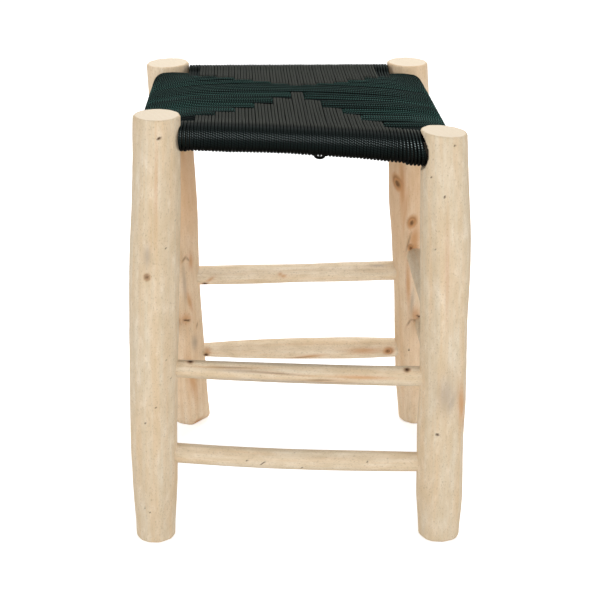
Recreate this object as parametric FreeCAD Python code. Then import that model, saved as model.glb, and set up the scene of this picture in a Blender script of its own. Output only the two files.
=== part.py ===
"""Low four-legged stool of hewn posts and rungs, with a seat of two wound and interlaced cords.

Millimetres. X runs along the front from left to right, Y from front to back, Z up.
The origin is the middle of the footprint's bounding box, on the ground.
"""
import FreeCAD, Part
import math
import os
from FreeCAD import Vector

os.makedirs("parts", exist_ok=True)

UP = Vector(0, 0, 1)

# Two directions closer than this angle, in radians, count as one.
SAME_ANGLE = 1e-5

# Legs: hewn posts with a belly, a drawn-in foot and a sawn top.
LEG_LENGTH = 500.0
LEG_DIAMETER = 54.0
TOP_CHAMFER = 1.5
FOOT_CHAMFER = 4.0
BEVEL_WIDTH = 9.0
BEVEL_HEIGHT = 14.0

# How far apart the middles of the legs stand, at the seat and on the ground.
SEAT_WIDTH = 304.0
SEAT_DEPTH = 309.0
FOOT_WIDTH = 322.0
FOOT_DEPTH = 322.0

# Rails: the four bars that the cords are wound on, and how far below the tallest top they lie.
RAIL_DROP = 33.0
RAIL_DIAMETER = 24.0
RAIL_TENON_DIAMETER = 16.0
RAIL_SHOULDER = 6.0
SHOULDER_GAP = 0.9
TENON_WALL = 1.6

# Rungs: the eight bars below, whose ends go into the legs at full thickness.
UPPER_RUNG_HEIGHT = 206.0
LOWER_RUNG_HEIGHT = 103.0
UPPER_SIDE_RUNG_HEIGHT = 238.0
LOWER_SIDE_RUNG_HEIGHT = 146.0
RUNG_DIAMETER = 25.0
RUNG_CORE = 2.5

# Fits: how loosely a bar's end sits in its mortise, all round and at its tip.
MORTISE_CLEARANCE = 0.1
MORTISE_END_GAP = 0.3
CUT_OVERRUN = 5.0

# Cords of the seat.
CORD_DIAMETER = 2.9
CORD_GAP = 0.43
LAYER_GAP = 0.6
RAIL_GAP = 0.15
LEG_GAP = 1.4

# The small loop of cord that shows below the front rail.
LOOP_RADIUS = 4.6
LOOP_DROP = 2.0

# Where the loop hangs along the front rail.
LOOP_PLACE_SHARE = 0.567

# Each leg's own length, as a share of the longest one.
LENGTH_SHARES = {
    "front_left": 1.0,
    "front_right": 0.962,
    "back_left": 0.965,
    "back_right": 0.967,
}

# The middle of each leg at its top, as shares of the seat's width and depth.
TOP_SHARES = {
    "front_left": (-0.490, -0.500),
    "front_right": (0.510, -0.498),
    "back_left": (-0.523, 0.500),
    "back_right": (0.441, 0.500),
}

# The middle of each leg on the ground, as shares of the width and depth there.
FOOT_SHARES = {
    "front_left": (-0.509, -0.481),
    "front_right": (0.506, -0.478),
    "back_left": (-0.438, 0.506),
    "back_right": (0.486, 0.519),
}

# How far each leg bows out to the right, as a share of its thickness.
BOW_SHARES = {
    "front_left": -0.037,
    "front_right": 0.060,
    "back_left": 0.0,
    "back_right": 0.0,
}

# How far each sawn top falls from left to right, as a share of the leg's thickness.
FALL_SHARES = {
    "front_left": 0.01,
    "front_right": 0.085,
    "back_left": -0.04,
    "back_right": 0.02,
}

# Each leg's thickness from the ground up, as shares of LEG_DIAMETER at shares of its length.
STATION_SHARES = (0.0, 0.035, 0.13, 0.22, 0.43, 0.68, 1.0)
THICKNESS_SHARES = {
    "front_left": (0.835, 0.850, 0.940, 0.974, 1.000, 1.024, 0.939),
    "front_right": (0.850, 0.860, 0.955, 0.965, 0.980, 0.995, 0.922),
    "back_left": (0.840, 0.855, 0.945, 0.965, 0.985, 1.000, 0.950),
    "back_right": (0.870, 0.885, 0.950, 0.965, 0.985, 0.995, 0.928),
}

# The height of the rails that the dark cord goes round, as a share of the rails' height.
CORNER_SHARES = {
    "front_left": 1.016,
    "front_right": 0.984,
    "back_left": 0.993,
    "back_right": 0.996,
}

# The side rails lie lower: their height as a share of the rails' height, and how far to the
# right of each leg's middle they run, as a share of the leg's thickness.
SIDE_CORNER_SHARES = {
    "front_left": (0.992, -0.165),
    "front_right": (0.979, -0.004),
    "back_left": (0.987, -0.035),
    "back_right": (0.983, -0.026),
}

# Rungs: the two legs and the height.
RUNGS = {
    "rung_front_upper": ("front_left", "front_right", UPPER_RUNG_HEIGHT),
    "rung_front_lower": ("front_left", "front_right", LOWER_RUNG_HEIGHT),
    "rung_back_upper": ("back_left", "back_right", UPPER_RUNG_HEIGHT),
    "rung_back_lower": ("back_left", "back_right", LOWER_RUNG_HEIGHT),
    "rung_left_upper": ("front_left", "back_left", UPPER_SIDE_RUNG_HEIGHT),
    "rung_left_lower": ("front_left", "back_left", LOWER_SIDE_RUNG_HEIGHT),
    "rung_right_upper": ("front_right", "back_right", UPPER_SIDE_RUNG_HEIGHT),
    "rung_right_lower": ("front_right", "back_right", LOWER_SIDE_RUNG_HEIGHT),
}

# Each rung's height at its two ends, as shares of its height.
RUNG_END_SHARES = {
    "rung_front_upper": (1.016, 0.961),
    "rung_front_lower": (1.030, 0.900),
    "rung_back_upper": (0.986, 1.020),
    "rung_back_lower": (0.960, 0.989),
    "rung_left_upper": (1.010, 0.985),
    "rung_left_lower": (0.980, 1.005),
    "rung_right_upper": (0.990, 1.010),
    "rung_right_lower": (1.015, 0.995),
}

# Each rung's thickness from end to end, as shares of RUNG_DIAMETER.
RUNG_THICKNESS_SHARES = {
    "rung_front_upper": (0.82, 0.90, 0.94, 0.96, 0.94),
    "rung_front_lower": (0.90, 0.98, 1.00, 0.98, 0.90),
    "rung_back_upper": (0.86, 0.96, 1.00, 0.97, 0.88),
    "rung_back_lower": (0.72, 1.00, 1.18, 1.14, 1.00),
    "rung_left_upper": (0.86, 0.95, 0.99, 0.97, 0.90),
    "rung_left_lower": (0.88, 0.99, 1.04, 1.00, 0.90),
    "rung_right_upper": (0.90, 0.98, 1.00, 0.94, 0.86),
    "rung_right_lower": (0.88, 1.00, 1.05, 0.99, 0.88),
}

# Rails: the two legs, and whether it is a side rail.
RAILS = {
    "seat_rail_front": ("front_left", "front_right", False),
    "seat_rail_back": ("back_left", "back_right", False),
    "seat_rail_left": ("front_left", "back_left", True),
    "seat_rail_right": ("front_right", "back_right", True),
}

# The steps of the seat's pattern, from an edge to the middle, as shares of the seat across it.
# A step is where the cords of one way pass from above to below those of the other way.
WARP_STEP_SHARES = (0.124, 0.188, 0.259, 0.330, 0.397, 0.460)
WEFT_STEP_SHARES = (0.127, 0.197, 0.270, 0.340, 0.407, 0.473)
WINDINGS = 3

# How much of the way from a rail to the first crossing a cord takes to reach its layer.
RAMP_SHARE = 0.8


def leg_middle(leg, height):
    """The middle of a leg at a height: a straight line from foot to top, plus its bow."""
    rise = height / (LEG_LENGTH * LENGTH_SHARES[leg])
    top = Vector(SEAT_WIDTH * TOP_SHARES[leg][0], SEAT_DEPTH * TOP_SHARES[leg][1], 0)
    foot = Vector(FOOT_WIDTH * FOOT_SHARES[leg][0], FOOT_DEPTH * FOOT_SHARES[leg][1], 0)
    bow = 4 * rise * (1 - rise) * BOW_SHARES[leg] * LEG_DIAMETER
    return foot + (top - foot) * rise + Vector(bow, 0, height)


def leg_radius(leg, height):
    """Half the thickness of a leg at a height, on straight lines between its stations."""
    rise = height / (LEG_LENGTH * LENGTH_SHARES[leg])
    shares = THICKNESS_SHARES[leg]
    for low in range(len(shares) - 1):
        start = STATION_SHARES[low]
        end = STATION_SHARES[low + 1]
        if rise <= end:
            part = (rise - start) / (end - start)
            return LEG_DIAMETER * (shares[low] + (shares[low + 1] - shares[low]) * part) / 2
    return LEG_DIAMETER * shares[-1] / 2


def make_leg(leg):
    """A post ruled through its stations, with its top sawn on a slant and its rims eased."""
    length = LEG_LENGTH * LENGTH_SHARES[leg]
    fall = math.degrees(math.atan(FALL_SHARES[leg]))
    rings = [(0, leg_radius(leg, 0) - FOOT_CHAMFER, 0)]
    rings.append((FOOT_CHAMFER, leg_radius(leg, FOOT_CHAMFER), 0))
    for share in STATION_SHARES[1:-1]:
        rings.append((length * share, leg_radius(leg, length * share), 0))
    rings.append((length - TOP_CHAMFER, leg_radius(leg, length), fall))
    rings.append((length, leg_radius(leg, length) - TOP_CHAMFER, fall))
    wires = []
    for height, radius, tilt in rings:
        circle = Part.Wire(Part.makeCircle(radius))
        circle.rotate(Vector(0, 0, 0), Vector(0, 1, 0), tilt)
        circle.translate(leg_middle(leg, height))
        wires.append(circle)
    return Part.makeLoft(wires, True, True)


def bevel_foot(post, leg):
    """Cut the slanting bevel across the inner front of one foot."""
    out = Vector(1, -1, 0).normalize()
    foot = leg_middle(leg, 0)
    edge = foot + out * (leg_radius(leg, 0) - BEVEL_WIDTH)
    slope = out * BEVEL_HEIGHT - UP * BEVEL_WIDTH
    block = Part.makeBox(LEG_DIAMETER, LEG_DIAMETER, LEG_DIAMETER,
                         Vector(-LEG_DIAMETER / 2, -LEG_DIAMETER / 2, 0))
    block.Placement = FreeCAD.Placement(edge, FreeCAD.Rotation(UP, slope)).multiply(block.Placement)
    return post.cut(block)


def turned(profile, start, direction):
    """A bar of round section: the profile is a list of runs of (distance, radius) points.

    A run of two points is straight, and a longer one is a smooth curve through its points.
    """
    edges = []
    for run in profile:
        points = [Vector(distance, 0, radius) for distance, radius in run]
        if len(points) == 2:
            edges.append(Part.LineSegment(points[0], points[1]).toShape())
        else:
            curve = Part.BSplineCurve()
            curve.interpolate(points)
            edges.append(curve.toShape())
    first = Vector(profile[0][0][0], 0, 0)
    last = Vector(profile[-1][-1][0], 0, 0)
    edges.append(Part.LineSegment(last, first).toShape())
    bar = Part.Face(Part.Wire(edges)).revolve(Vector(0, 0, 0), Vector(1, 0, 0), 360)
    bar.Placement = FreeCAD.Placement(start, FreeCAD.Rotation(Vector(1, 0, 0), direction))
    return Part.Solid(bar) if bar.ShapeType != "Solid" else bar


def mortise(start, direction, tip, reach, radius):
    """The round hole that takes a bar's end, from past its tip to past the leg's face."""
    base = start + direction * (tip - MORTISE_END_GAP)
    return Part.makeCylinder(radius + MORTISE_CLEARANCE, reach + CUT_OVERRUN - tip, base, direction)


def make_rung(name):
    """A rung with a soft belly, and the two mortises that its ends need."""
    leg_a, leg_b, height = RUNGS[name]
    start = leg_middle(leg_a, height * RUNG_END_SHARES[name][0])
    end = leg_middle(leg_b, height * RUNG_END_SHARES[name][1])
    length = start.distanceToPoint(end)
    direction = (end - start).normalize()
    face_a = leg_radius(leg_a, height)
    face_b = length - leg_radius(leg_b, height)
    radii = [RUNG_DIAMETER * share / 2 for share in RUNG_THICKNESS_SHARES[name]]
    steps = len(radii) - 1
    belly = [(face_a + (face_b - face_a) * step / steps, radii[step]) for step in range(steps + 1)]
    tip_a = RUNG_CORE
    tip_b = length - RUNG_CORE
    profile = [
        [(tip_a, 0), (tip_a, radii[0])],
        [(tip_a, radii[0]), belly[0]],
        belly,
        [belly[-1], (tip_b, radii[-1])],
        [(tip_b, radii[-1]), (tip_b, 0)],
    ]
    cuts = {
        leg_a: mortise(start, direction, tip_a, face_a, radii[0]),
        leg_b: mortise(end, direction * -1, tip_a, length - face_b, radii[-1]),
    }
    return turned(profile, start, direction), cuts


def corner(leg):
    """Where the middle of the front or back rail, carried on, meets the middle of a leg."""
    return leg_middle(leg, (LEG_LENGTH - RAIL_DROP) * CORNER_SHARES[leg])


def side_corner(leg):
    """Where the middle of a side rail, carried on, passes the middle of a leg."""
    height, aside = SIDE_CORNER_SHARES[leg]
    return leg_middle(leg, (LEG_LENGTH - RAIL_DROP) * height) + Vector(aside * LEG_DIAMETER, 0, 0)


def make_rail(name):
    """A straight rail with tapered shoulders and round tenons, and its two mortises."""
    leg_a, leg_b, at_side = RAILS[name]
    start = side_corner(leg_a) if at_side else corner(leg_a)
    end = side_corner(leg_b) if at_side else corner(leg_b)
    length = start.distanceToPoint(end)
    direction = (end - start).normalize()
    tenon = RAIL_TENON_DIAMETER / 2
    bar = RAIL_DIAMETER / 2
    face_a = leg_radius(leg_a, start.z) + SHOULDER_GAP
    face_b = length - leg_radius(leg_b, end.z) - SHOULDER_GAP
    tip = tenon + TENON_WALL
    profile = [
        [(tip, 0), (tip, tenon)],
        [(tip, tenon), (face_a, tenon)],
        [(face_a, tenon), (face_a + RAIL_SHOULDER, bar)],
        [(face_a + RAIL_SHOULDER, bar), (face_b - RAIL_SHOULDER, bar)],
        [(face_b - RAIL_SHOULDER, bar), (face_b, tenon)],
        [(face_b, tenon), (length - tip, tenon)],
        [(length - tip, tenon), (length - tip, 0)],
    ]
    cuts = {
        leg_a: mortise(start, direction, tip, face_a, tenon),
        leg_b: mortise(end, direction * -1, tip, length - face_b, tenon),
    }
    return turned(profile, start, direction), cuts


def between(start, end, share):
    """The point at a share of the way from one point to another."""
    return start + (end - start) * share


def clear_share(leg, length):
    """How far from a leg's middle the first cord lies, as a share of a rail's length."""
    return (leg_radius(leg, corner(leg).z) + LEG_GAP + CORD_DIAMETER / 2) / length


def cord_shares(first, last, steps, length):
    """The places of the cords along a rail, closer within a step and wider at its ends.

    Returns a list of (share of the rail, step number), steps counted from the first edge.
    """
    edges = [first] + list(steps) + [1 - share for share in reversed(steps)] + [last]
    wide = math.sqrt(3) * (CORD_DIAMETER + LAYER_GAP) / length
    pitch = (CORD_DIAMETER + CORD_GAP) / length
    places = []
    for step in range(len(edges) - 1):
        low = edges[step] + (wide / 2 if step > 0 else 0)
        high = edges[step + 1] - (wide / 2 if step < len(edges) - 2 else 0)
        gaps = max(1, math.floor((high - low) / pitch))
        for gap in range(gaps + 1):
            places.append((low + (high - low) * gap / gaps, step))
    return places


def arc_edge(start, tangent, end):
    """The arc from a point along a tangent to another point, or the line if they agree."""
    chord = end - start
    along = Vector(chord).normalize()
    turn = math.acos(max(-1.0, min(1.0, tangent.dot(along))))
    if turn < SAME_ANGLE:
        return Part.LineSegment(start, end).toShape()
    side = (tangent - along * tangent.dot(along)).normalize()
    middle = (start + end) * 0.5 + side * (chord.Length / 2 * math.tan(turn / 2))
    return Part.Arc(start, middle, end).toShape()


def biarc(start, tangent_a, end, tangent_b):
    """Two arcs that leave one point along its tangent and reach another along its own."""
    chord = end - start
    total = tangent_a + tangent_b
    spread = 2 * (1 - tangent_a.dot(tangent_b))
    reach = chord.dot(total)
    if spread < SAME_ANGLE * SAME_ANGLE:
        handle = chord.dot(chord) / (2 * reach)
    else:
        handle = (math.sqrt(reach * reach + spread * chord.dot(chord)) - reach) / spread
    joint = (start + end + (tangent_a - tangent_b) * handle) * 0.5
    first = arc_edge(start, tangent_a, joint)
    back = arc_edge(end, tangent_b * -1, joint)
    middle = back.valueAt((back.FirstParameter + back.LastParameter) / 2)
    if isinstance(back.Curve, Part.Line):
        return [first, Part.LineSegment(joint, end).toShape()]
    return [first, Part.Arc(joint, middle, end).toShape()]


def half_loop(middle, along, below, above, outward):
    """The loop round a rail, from below to above it, or from above to below."""
    radius = middle.distanceToPoint(below)
    side = middle + along * (radius if outward else -radius)
    if outward:
        return Part.Arc(above, side, below).toShape()
    return Part.Arc(below, side, above).toShape()


def in_plane(direction, normal):
    """A direction brought into the plane across a normal, at unit length."""
    return (direction - normal * direction.dot(normal)).normalize()


def cord_over_top(marks, run, rise):
    """The edges of one cord across the seat, between its first and its last mark.

    A mark is (point under it, side): side 1 is above the other cords and -1 below them.
    """
    layer = (CORD_DIAMETER + LAYER_GAP) / 2
    points = [point + rise * (side * layer) for point, side in marks]
    edges = []
    for index in range(len(marks) - 1):
        if marks[index][1] == marks[index + 1][1]:
            edges.append(Part.LineSegment(points[index], points[index + 1]).toShape())
        else:
            edges.extend(biarc(points[index], run, points[index + 1], run))
    return edges


def winding(strands, under_side, reach_share):
    """The centreline of a cord wound round two rails, one turn for each strand.

    A strand is (points on the two rails, points where its line crosses the seat's edges, dives),
    and a dive is (share of that line, side before it, side after it).
    under_side is 1 where the cord returns above the other cord under the seat, else -1.
    """
    radius = (RAIL_DIAMETER + CORD_DIAMETER) / 2 + RAIL_GAP
    layer = (CORD_DIAMETER + LAYER_GAP) / 2
    bend = math.sqrt(3) * layer
    edges = []
    tail = None
    for (start, end), (edge_a, edge_b), dives in strands:
        along = (end - start).normalize()
        lift = in_plane(UP, along)
        run = (edge_b - edge_a).normalize()
        rise = in_plane(UP, run)
        length = edge_a.distanceToPoint(edge_b)
        reach = length * reach_share
        line = edge_a + rise * radius
        marks = [(line + run * reach, dives[0][1] if dives else -1)]
        for share, side_a, side_b in dives:
            marks.append((line + run * (length * share - bend), side_a))
            marks.append((line + run * (length * share + bend), side_b))
        marks.append((line + run * (length - reach), dives[-1][2] if dives else -1))
        first = marks[0][0] + rise * (marks[0][1] * layer)
        last = marks[-1][0] + rise * (marks[-1][1] * layer)
        plane = lift.cross(along)
        climb = in_plane(first - start - lift * radius, plane)
        descent = in_plane(end + lift * radius - last, plane)
        above_start = start + in_plane(lift, climb) * radius
        above_end = end + in_plane(lift, descent) * radius
        below_start = start - lift * radius
        below_end = end - lift * radius
        low = below_start + along * reach + lift * (under_side * layer)
        if tail is None:
            begin = below_start + along * CORD_DIAMETER
            edges.append(Part.LineSegment(begin, below_start).toShape())
        else:
            from_low, from_end, from_along = tail
            back = (low - from_low).normalize()
            edges.extend(biarc(from_end, from_along * -1, from_low, back))
            edges.append(Part.LineSegment(from_low, low).toShape())
            edges.extend(biarc(low, back, below_start, along * -1))
        edges.append(half_loop(start, along, below_start, above_start, False))
        edges.extend(biarc(above_start, climb, first, run))
        edges.extend(cord_over_top(marks, run, rise))
        edges.extend(biarc(last, run, above_end, descent))
        edges.append(half_loop(end, along, below_end, above_end, True))
        tail = (below_end - along * reach + lift * (under_side * layer), below_end, along)
    edges.append(Part.LineSegment(tail[1], tail[1] - tail[2] * CORD_DIAMETER).toShape())
    return edges


def tube(edges):
    """A round cord along a chain of edges, as one pipe shell closed at both ends."""
    start = edges[0].valueAt(edges[0].FirstParameter)
    direction = edges[0].tangentAt(edges[0].FirstParameter)
    shell = Part.BRepOffsetAPI.MakePipeShell(Part.Wire(edges))
    shell.add(Part.Wire(Part.makeCircle(CORD_DIAMETER / 2, start, direction)))
    shell.build()
    shell.makeSolid()
    return shell.shape()


def least_gap(edges):
    """The least gap between turns of one cord, from points along its middle."""
    spacing = CORD_DIAMETER / 2
    points = []
    travelled = 0.0
    for edge in edges:
        pieces = max(1, math.ceil(edge.Length / spacing))
        first = edge.FirstParameter
        span = edge.LastParameter - first
        for piece in range(pieces):
            point = edge.valueAt(first + span * piece / pieces)
            points.append((point, travelled + edge.Length * piece / pieces))
        travelled += edge.Length
    cell = 2 * CORD_DIAMETER
    grid = {}
    for index, (point, _) in enumerate(points):
        key = (math.floor(point.x / cell), math.floor(point.y / cell), math.floor(point.z / cell))
        grid.setdefault(key, []).append(index)
    least = cell
    near = 6 * CORD_DIAMETER
    steps = (-1, 0, 1)
    for key, members in grid.items():
        others = []
        for dx in steps:
            for dy in steps:
                for dz in steps:
                    others.extend(grid.get((key[0] + dx, key[1] + dy, key[2] + dz), []))
        for index in members:
            point, place = points[index]
            for other in others:
                if points[other][1] <= place + near or other + 1 >= len(points):
                    continue
                a = points[other][0]
                b = points[other + 1][0]
                leg = b - a
                share = max(0.0, min(1.0, (point - a).dot(leg) / leg.dot(leg)))
                least = min(least, (point - a - leg * share).Length)
    return least - CORD_DIAMETER


def field(across, along):
    """A point of the seat between the middles of the rails, at shares across and along it."""
    front = between(corner("front_left"), corner("front_right"), across)
    back = between(corner("back_left"), corner("back_right"), across)
    return between(front, back, along)


def side_places(along):
    """The points on the middles of the two side rails, at a share along them."""
    left = between(side_corner("front_left"), side_corner("back_left"), along)
    right = between(side_corner("front_right"), side_corner("back_right"), along)
    return left, right


def weave():
    """The centrelines of the two cords, three windings of each.

    The warp goes round the front and back rails, and the weft round the side rails. Each
    strand lies above the other cord near its rails and below it past its step.
    """
    front_length = corner("front_left").distanceToPoint(corner("front_right"))
    back_length = corner("back_left").distanceToPoint(corner("back_right"))
    left_length = corner("front_left").distanceToPoint(corner("back_left"))
    right_length = corner("front_right").distanceToPoint(corner("back_right"))
    warp_first = max(clear_share("front_left", front_length), clear_share("back_left", back_length))
    warp_last = 1 - max(clear_share("front_right", front_length), clear_share("back_right", back_length))
    weft_first = max(clear_share("front_left", left_length), clear_share("front_right", right_length))
    weft_last = 1 - max(clear_share("back_left", left_length), clear_share("back_right", right_length))
    warps = cord_shares(warp_first, warp_last, WEFT_STEP_SHARES, min(front_length, back_length))
    wefts = cord_shares(weft_first, weft_last, WARP_STEP_SHARES, min(left_length, right_length))
    last_step = 2 * len(WARP_STEP_SHARES)
    warp_strands = []
    for share, step in warps:
        level = min(step, last_step - step)
        dives = []
        if level > 0:
            turn = WARP_STEP_SHARES[level - 1]
            dives = [(turn, 1, -1), (1 - turn, -1, 1)]
        edges = (field(share, 0), field(share, 1))
        warp_strands.append((edges, edges, dives))
    weft_strands = []
    for share, step in wefts:
        level = min(step, last_step - step)
        dives = []
        if level == len(WEFT_STEP_SHARES):
            dives = [(0.5, 1, 1)]
        if level < len(WEFT_STEP_SHARES):
            turn = WEFT_STEP_SHARES[level]
            dives = [(turn, 1, -1), (1 - turn, -1, 1)]
        weft_strands.append((side_places(share), (field(0, share), field(1, share)), dives))
    reach_share = RAMP_SHARE * min(warp_first, weft_first)
    cords = {}
    for name, strands, under_side, places in (
        ("warp_cord", warp_strands, 1, ("left", "middle", "right")),
        ("weft_cord", weft_strands, -1, ("front", "middle", "back")),
    ):
        for number in range(WINDINGS):
            low = len(strands) * number // WINDINGS
            high = len(strands) * (number + 1) // WINDINGS
            cords[name + "_" + places[number]] = winding(strands[low:high], under_side, reach_share)
        print(name, len(strands), "strands")
    return cords


def make_loop():
    """The small loop of cord below the front rail: two short straight ends and a half turn."""
    front = between(corner("front_left"), corner("front_right"), LOOP_PLACE_SHARE)
    under = front - UP * ((RAIL_DIAMETER + CORD_DIAMETER) / 2 + RAIL_GAP + CORD_DIAMETER / 2 + LAYER_GAP)
    side = Vector(LOOP_RADIUS, 0, 0)
    turn = under - UP * LOOP_DROP
    return tube([
        Part.LineSegment(under - side, turn - side).toShape(),
        Part.Arc(turn - side, turn - UP * LOOP_RADIUS, turn + side).toShape(),
        Part.LineSegment(turn + side, under + side).toShape(),
    ])


def build():
    """Make every piece in place and return a dictionary of node name to solid."""
    legs = {leg: make_leg(leg) for leg in LENGTH_SHARES}
    legs["back_left"] = bevel_foot(legs["back_left"], "back_left")
    pieces = {}
    for name in RUNGS:
        pieces[name], cuts = make_rung(name)
        for leg, cut in cuts.items():
            legs[leg] = legs[leg].cut(cut)
    for name in RAILS:
        pieces[name], cuts = make_rail(name)
        for leg, cut in cuts.items():
            legs[leg] = legs[leg].cut(cut)
    for leg, post in legs.items():
        pieces["leg_" + leg] = post
    for name, edges in weave().items():
        pieces[name] = tube(edges)
        print(name, "least gap to itself", round(least_gap(edges), 3))
    pieces["cord_end_loop"] = make_loop()
    return pieces


def centred(pieces):
    """Move all pieces so that the box round them stands centred on the origin."""
    box = FreeCAD.BoundBox()
    for shape in pieces.values():
        box.add(shape.optimalBoundingBox())
    shift = Vector(-box.Center.x, -box.Center.y, -box.ZMin)
    return {name: shape.translated(shift) for name, shape in pieces.items()}


for node, solid in sorted(centred(build()).items()):
    if solid.ShapeType != "Solid" and len(solid.Solids) == 1:
        solid = solid.Solids[0]
    solid.exportStep("parts/" + node + ".step")
    print(node, "valid", solid.isValid(), "solids", len(solid.Solids), "volume", round(solid.Volume))
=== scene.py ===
"""A low stool of hewn posts and rungs, with a seat of dark and green braided cord.

Metres, +Z up, the front towards -Y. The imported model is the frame: the posts, the rungs, the
rails and the cords are dressed pieces in the places of its nodes.
"""
import math

import bpy
import numpy as np
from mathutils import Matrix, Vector


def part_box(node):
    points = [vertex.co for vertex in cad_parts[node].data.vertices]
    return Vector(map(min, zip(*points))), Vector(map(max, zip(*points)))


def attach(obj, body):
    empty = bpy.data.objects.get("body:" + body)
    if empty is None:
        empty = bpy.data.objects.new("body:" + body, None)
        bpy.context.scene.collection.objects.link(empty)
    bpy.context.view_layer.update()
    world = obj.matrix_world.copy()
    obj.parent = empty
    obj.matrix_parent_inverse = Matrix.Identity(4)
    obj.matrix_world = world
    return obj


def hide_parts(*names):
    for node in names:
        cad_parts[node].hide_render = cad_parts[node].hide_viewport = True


bl_info = {
    "name": "Moroccan Stool",
    "version": (1, 0, 0),
    "blender": (4, 5, 0),
    "location": "View3D > Sidebar > Stool",
    "description": "Hewn wooden stool with a seat of wound and interlaced cords",
    "category": "Object",
}

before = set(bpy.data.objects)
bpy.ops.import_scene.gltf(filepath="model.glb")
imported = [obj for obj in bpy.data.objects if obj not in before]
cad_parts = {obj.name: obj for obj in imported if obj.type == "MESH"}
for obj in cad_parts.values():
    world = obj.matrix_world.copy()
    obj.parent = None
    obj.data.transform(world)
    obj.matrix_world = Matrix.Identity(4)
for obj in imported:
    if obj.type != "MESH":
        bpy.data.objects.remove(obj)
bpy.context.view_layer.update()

MM = 0.001
WHITE = (1.0, 1.0, 1.0, 1.0)

# From the plan that the places below were measured in to the frame's plan.
PLAN_SHIFT = np.array([-0.6, -4.4, 0.0])

# Sizes and places shared by the pieces, in millimetres.
# Each post: its length, the middle of its top, the middle of its foot, its bow to the right,
# how far its sawn top falls to the right, and its seed.
POSTS = {
    "leg_front_left": (498.9, (-149.0, -154.5), (-163.9, -154.9), -2.0, 0.01, 3),
    "leg_front_right": (481.0, (155.0, -153.9), (162.9, -153.9), 3.2, 0.085, 8),
    "leg_back_left": (482.3, (-159.0, 154.5), (-141.0, 162.9), 0.0, -0.04, 14),
    "leg_back_right": (483.3, (134.1, 154.5), (156.5, 167.1), 0.0, 0.02, 21),
}

# How far each post's left and right sides stand out from the round bar, as hewn, at heights.
POST_SIDES = {
    "leg_front_left": (((0, -0.4), (70, -0.2), (120, 0.8), (170, 0.9), (266, 0.4), (313, 0.1), (360, -0.8),
                        (404, -1.8), (450, -1.6), (472, -0.8), (500, -0.2)),
                       ((0, 0.0), (70, 0.6), (138, -0.9), (170, -0.7), (266, 0.4), (360, 0.2), (404, 0.5),
                        (450, 0.4), (500, 0.3))),
    "leg_front_right": (((0, 0.6), (30, 2.1), (69, 2.9), (138, 2.9), (169, 1.4), (236, 0.9), (313, 0.3),
                         (404, 0.0), (438, 0.0), (480, 0.0)),
                        ((0, 0.7), (30, 1.0), (69, -0.5), (120, -1.5), (169, -0.4), (218, -0.5),
                         (266, -0.2), (313, 1.4), (359, 2.2), (404, 1.2), (449, 0.7), (480, 0.8))),
    "leg_back_left": (((0, 0.0), (240, 0.0), (440, 0.3), (480, 0.8)),
                      ((0, 1.9), (10, 1.5), (27, 0.0), (56, -2.3), (134, -3.6), (183, -4.4), (238, -3.5),
                       (265, -2.7), (305, -1.9), (358, -2.1), (440, -0.8), (480, 0.0))),
    "leg_back_right": (((0, -0.5), (47, -0.1), (133, -1.2), (182, -2.3), (238, -1.2), (264, -0.8),
                        (304, 1.0), (324, 0.7), (347, 0.1), (480, 0.0)),
                       ((0, 0.0), (440, 0.0), (480, -0.5))),
}

# Each post's diameter at stations along it, in shares of its length.
STATIONS = (0.0, 0.035, 0.13, 0.22, 0.43, 0.68, 1.0)
DIAMETERS = {
    "leg_front_left": (45.1, 45.9, 50.8, 52.6, 54.0, 55.3, 50.7),
    "leg_front_right": (45.9, 46.4, 51.6, 52.1, 52.9, 53.7, 49.8),
    "leg_back_left": (45.4, 46.2, 51.0, 52.1, 53.2, 54.0, 51.3),
    "leg_back_right": (47.0, 47.8, 51.3, 52.1, 53.2, 53.7, 50.1),
}

# Each rung: its two posts, its height at each, how far it runs to the left of their middles, how
# far its middle sags, its diameter along it, and its seed.
RUNGS = {
    "rung_front_upper": ("leg_front_left", "leg_front_right", 209.3, 198.0, 0.0, 1.6,
                         (20.0, 21.3, 22.0, 22.0, 22.8), 31),
    "rung_front_lower": ("leg_front_left", "leg_front_right", 106.1, 92.7, 0.0, 3.8,
                         (22.8, 23.4, 23.3, 23.3, 22.4), 37),
    "rung_back_upper": ("leg_back_left", "leg_back_right", 203.1, 210.1, 0.0, 0.4,
                        (24.0, 24.6, 23.3, 24.6, 24.3), 41),
    "rung_back_lower": ("leg_back_left", "leg_back_right", 98.9, 101.9, 0.0, 0.0,
                        (18.0, 24.4, 27.2, 28.0, 24.5), 43),
    "rung_left_upper": ("leg_front_left", "leg_back_left", 240.4, 234.4, 9.0, 0.0,
                        (19.0, 20.0, 20.4, 20.0, 19.0), 47),
    "rung_left_lower": ("leg_front_left", "leg_back_left", 143.1, 146.7, 13.5, 0.5,
                        (19.0, 20.0, 20.6, 20.2, 19.0), 53),
    "rung_right_upper": ("leg_front_right", "leg_back_right", 234.6, 238.6, -1.4, 0.0,
                         (22.0, 23.4, 23.8, 23.0, 21.5), 59),
    "rung_right_lower": ("leg_front_right", "leg_back_right", 148.2, 145.3, -9.5, 0.3,
                         (21.0, 22.4, 23.0, 22.2, 21.0), 61),
}

# How far from its post's middle a rung ends inside the post, and where its tables start.
RUNG_INSET = 10.0
POST_FACE = 26.0

# Where the middles of the rails meet the middles of the posts.
RAIL_CORNERS = {
    "front_left": (-150.1, -154.5, 474.5),
    "front_right": (155.9, -153.9, 459.5),
    "back_left": (-158.3, 154.8, 463.7),
    "back_right": (134.9, 155.0, 465.1),
}
SIDE_CORNERS = {
    "front_left": (-159.5, -154.5, 463.3),
    "front_right": (155.9, -153.9, 457.2),
    "back_left": (-160.0, 154.9, 460.9),
    "back_right": (133.9, 155.2, 459.1),
}
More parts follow.
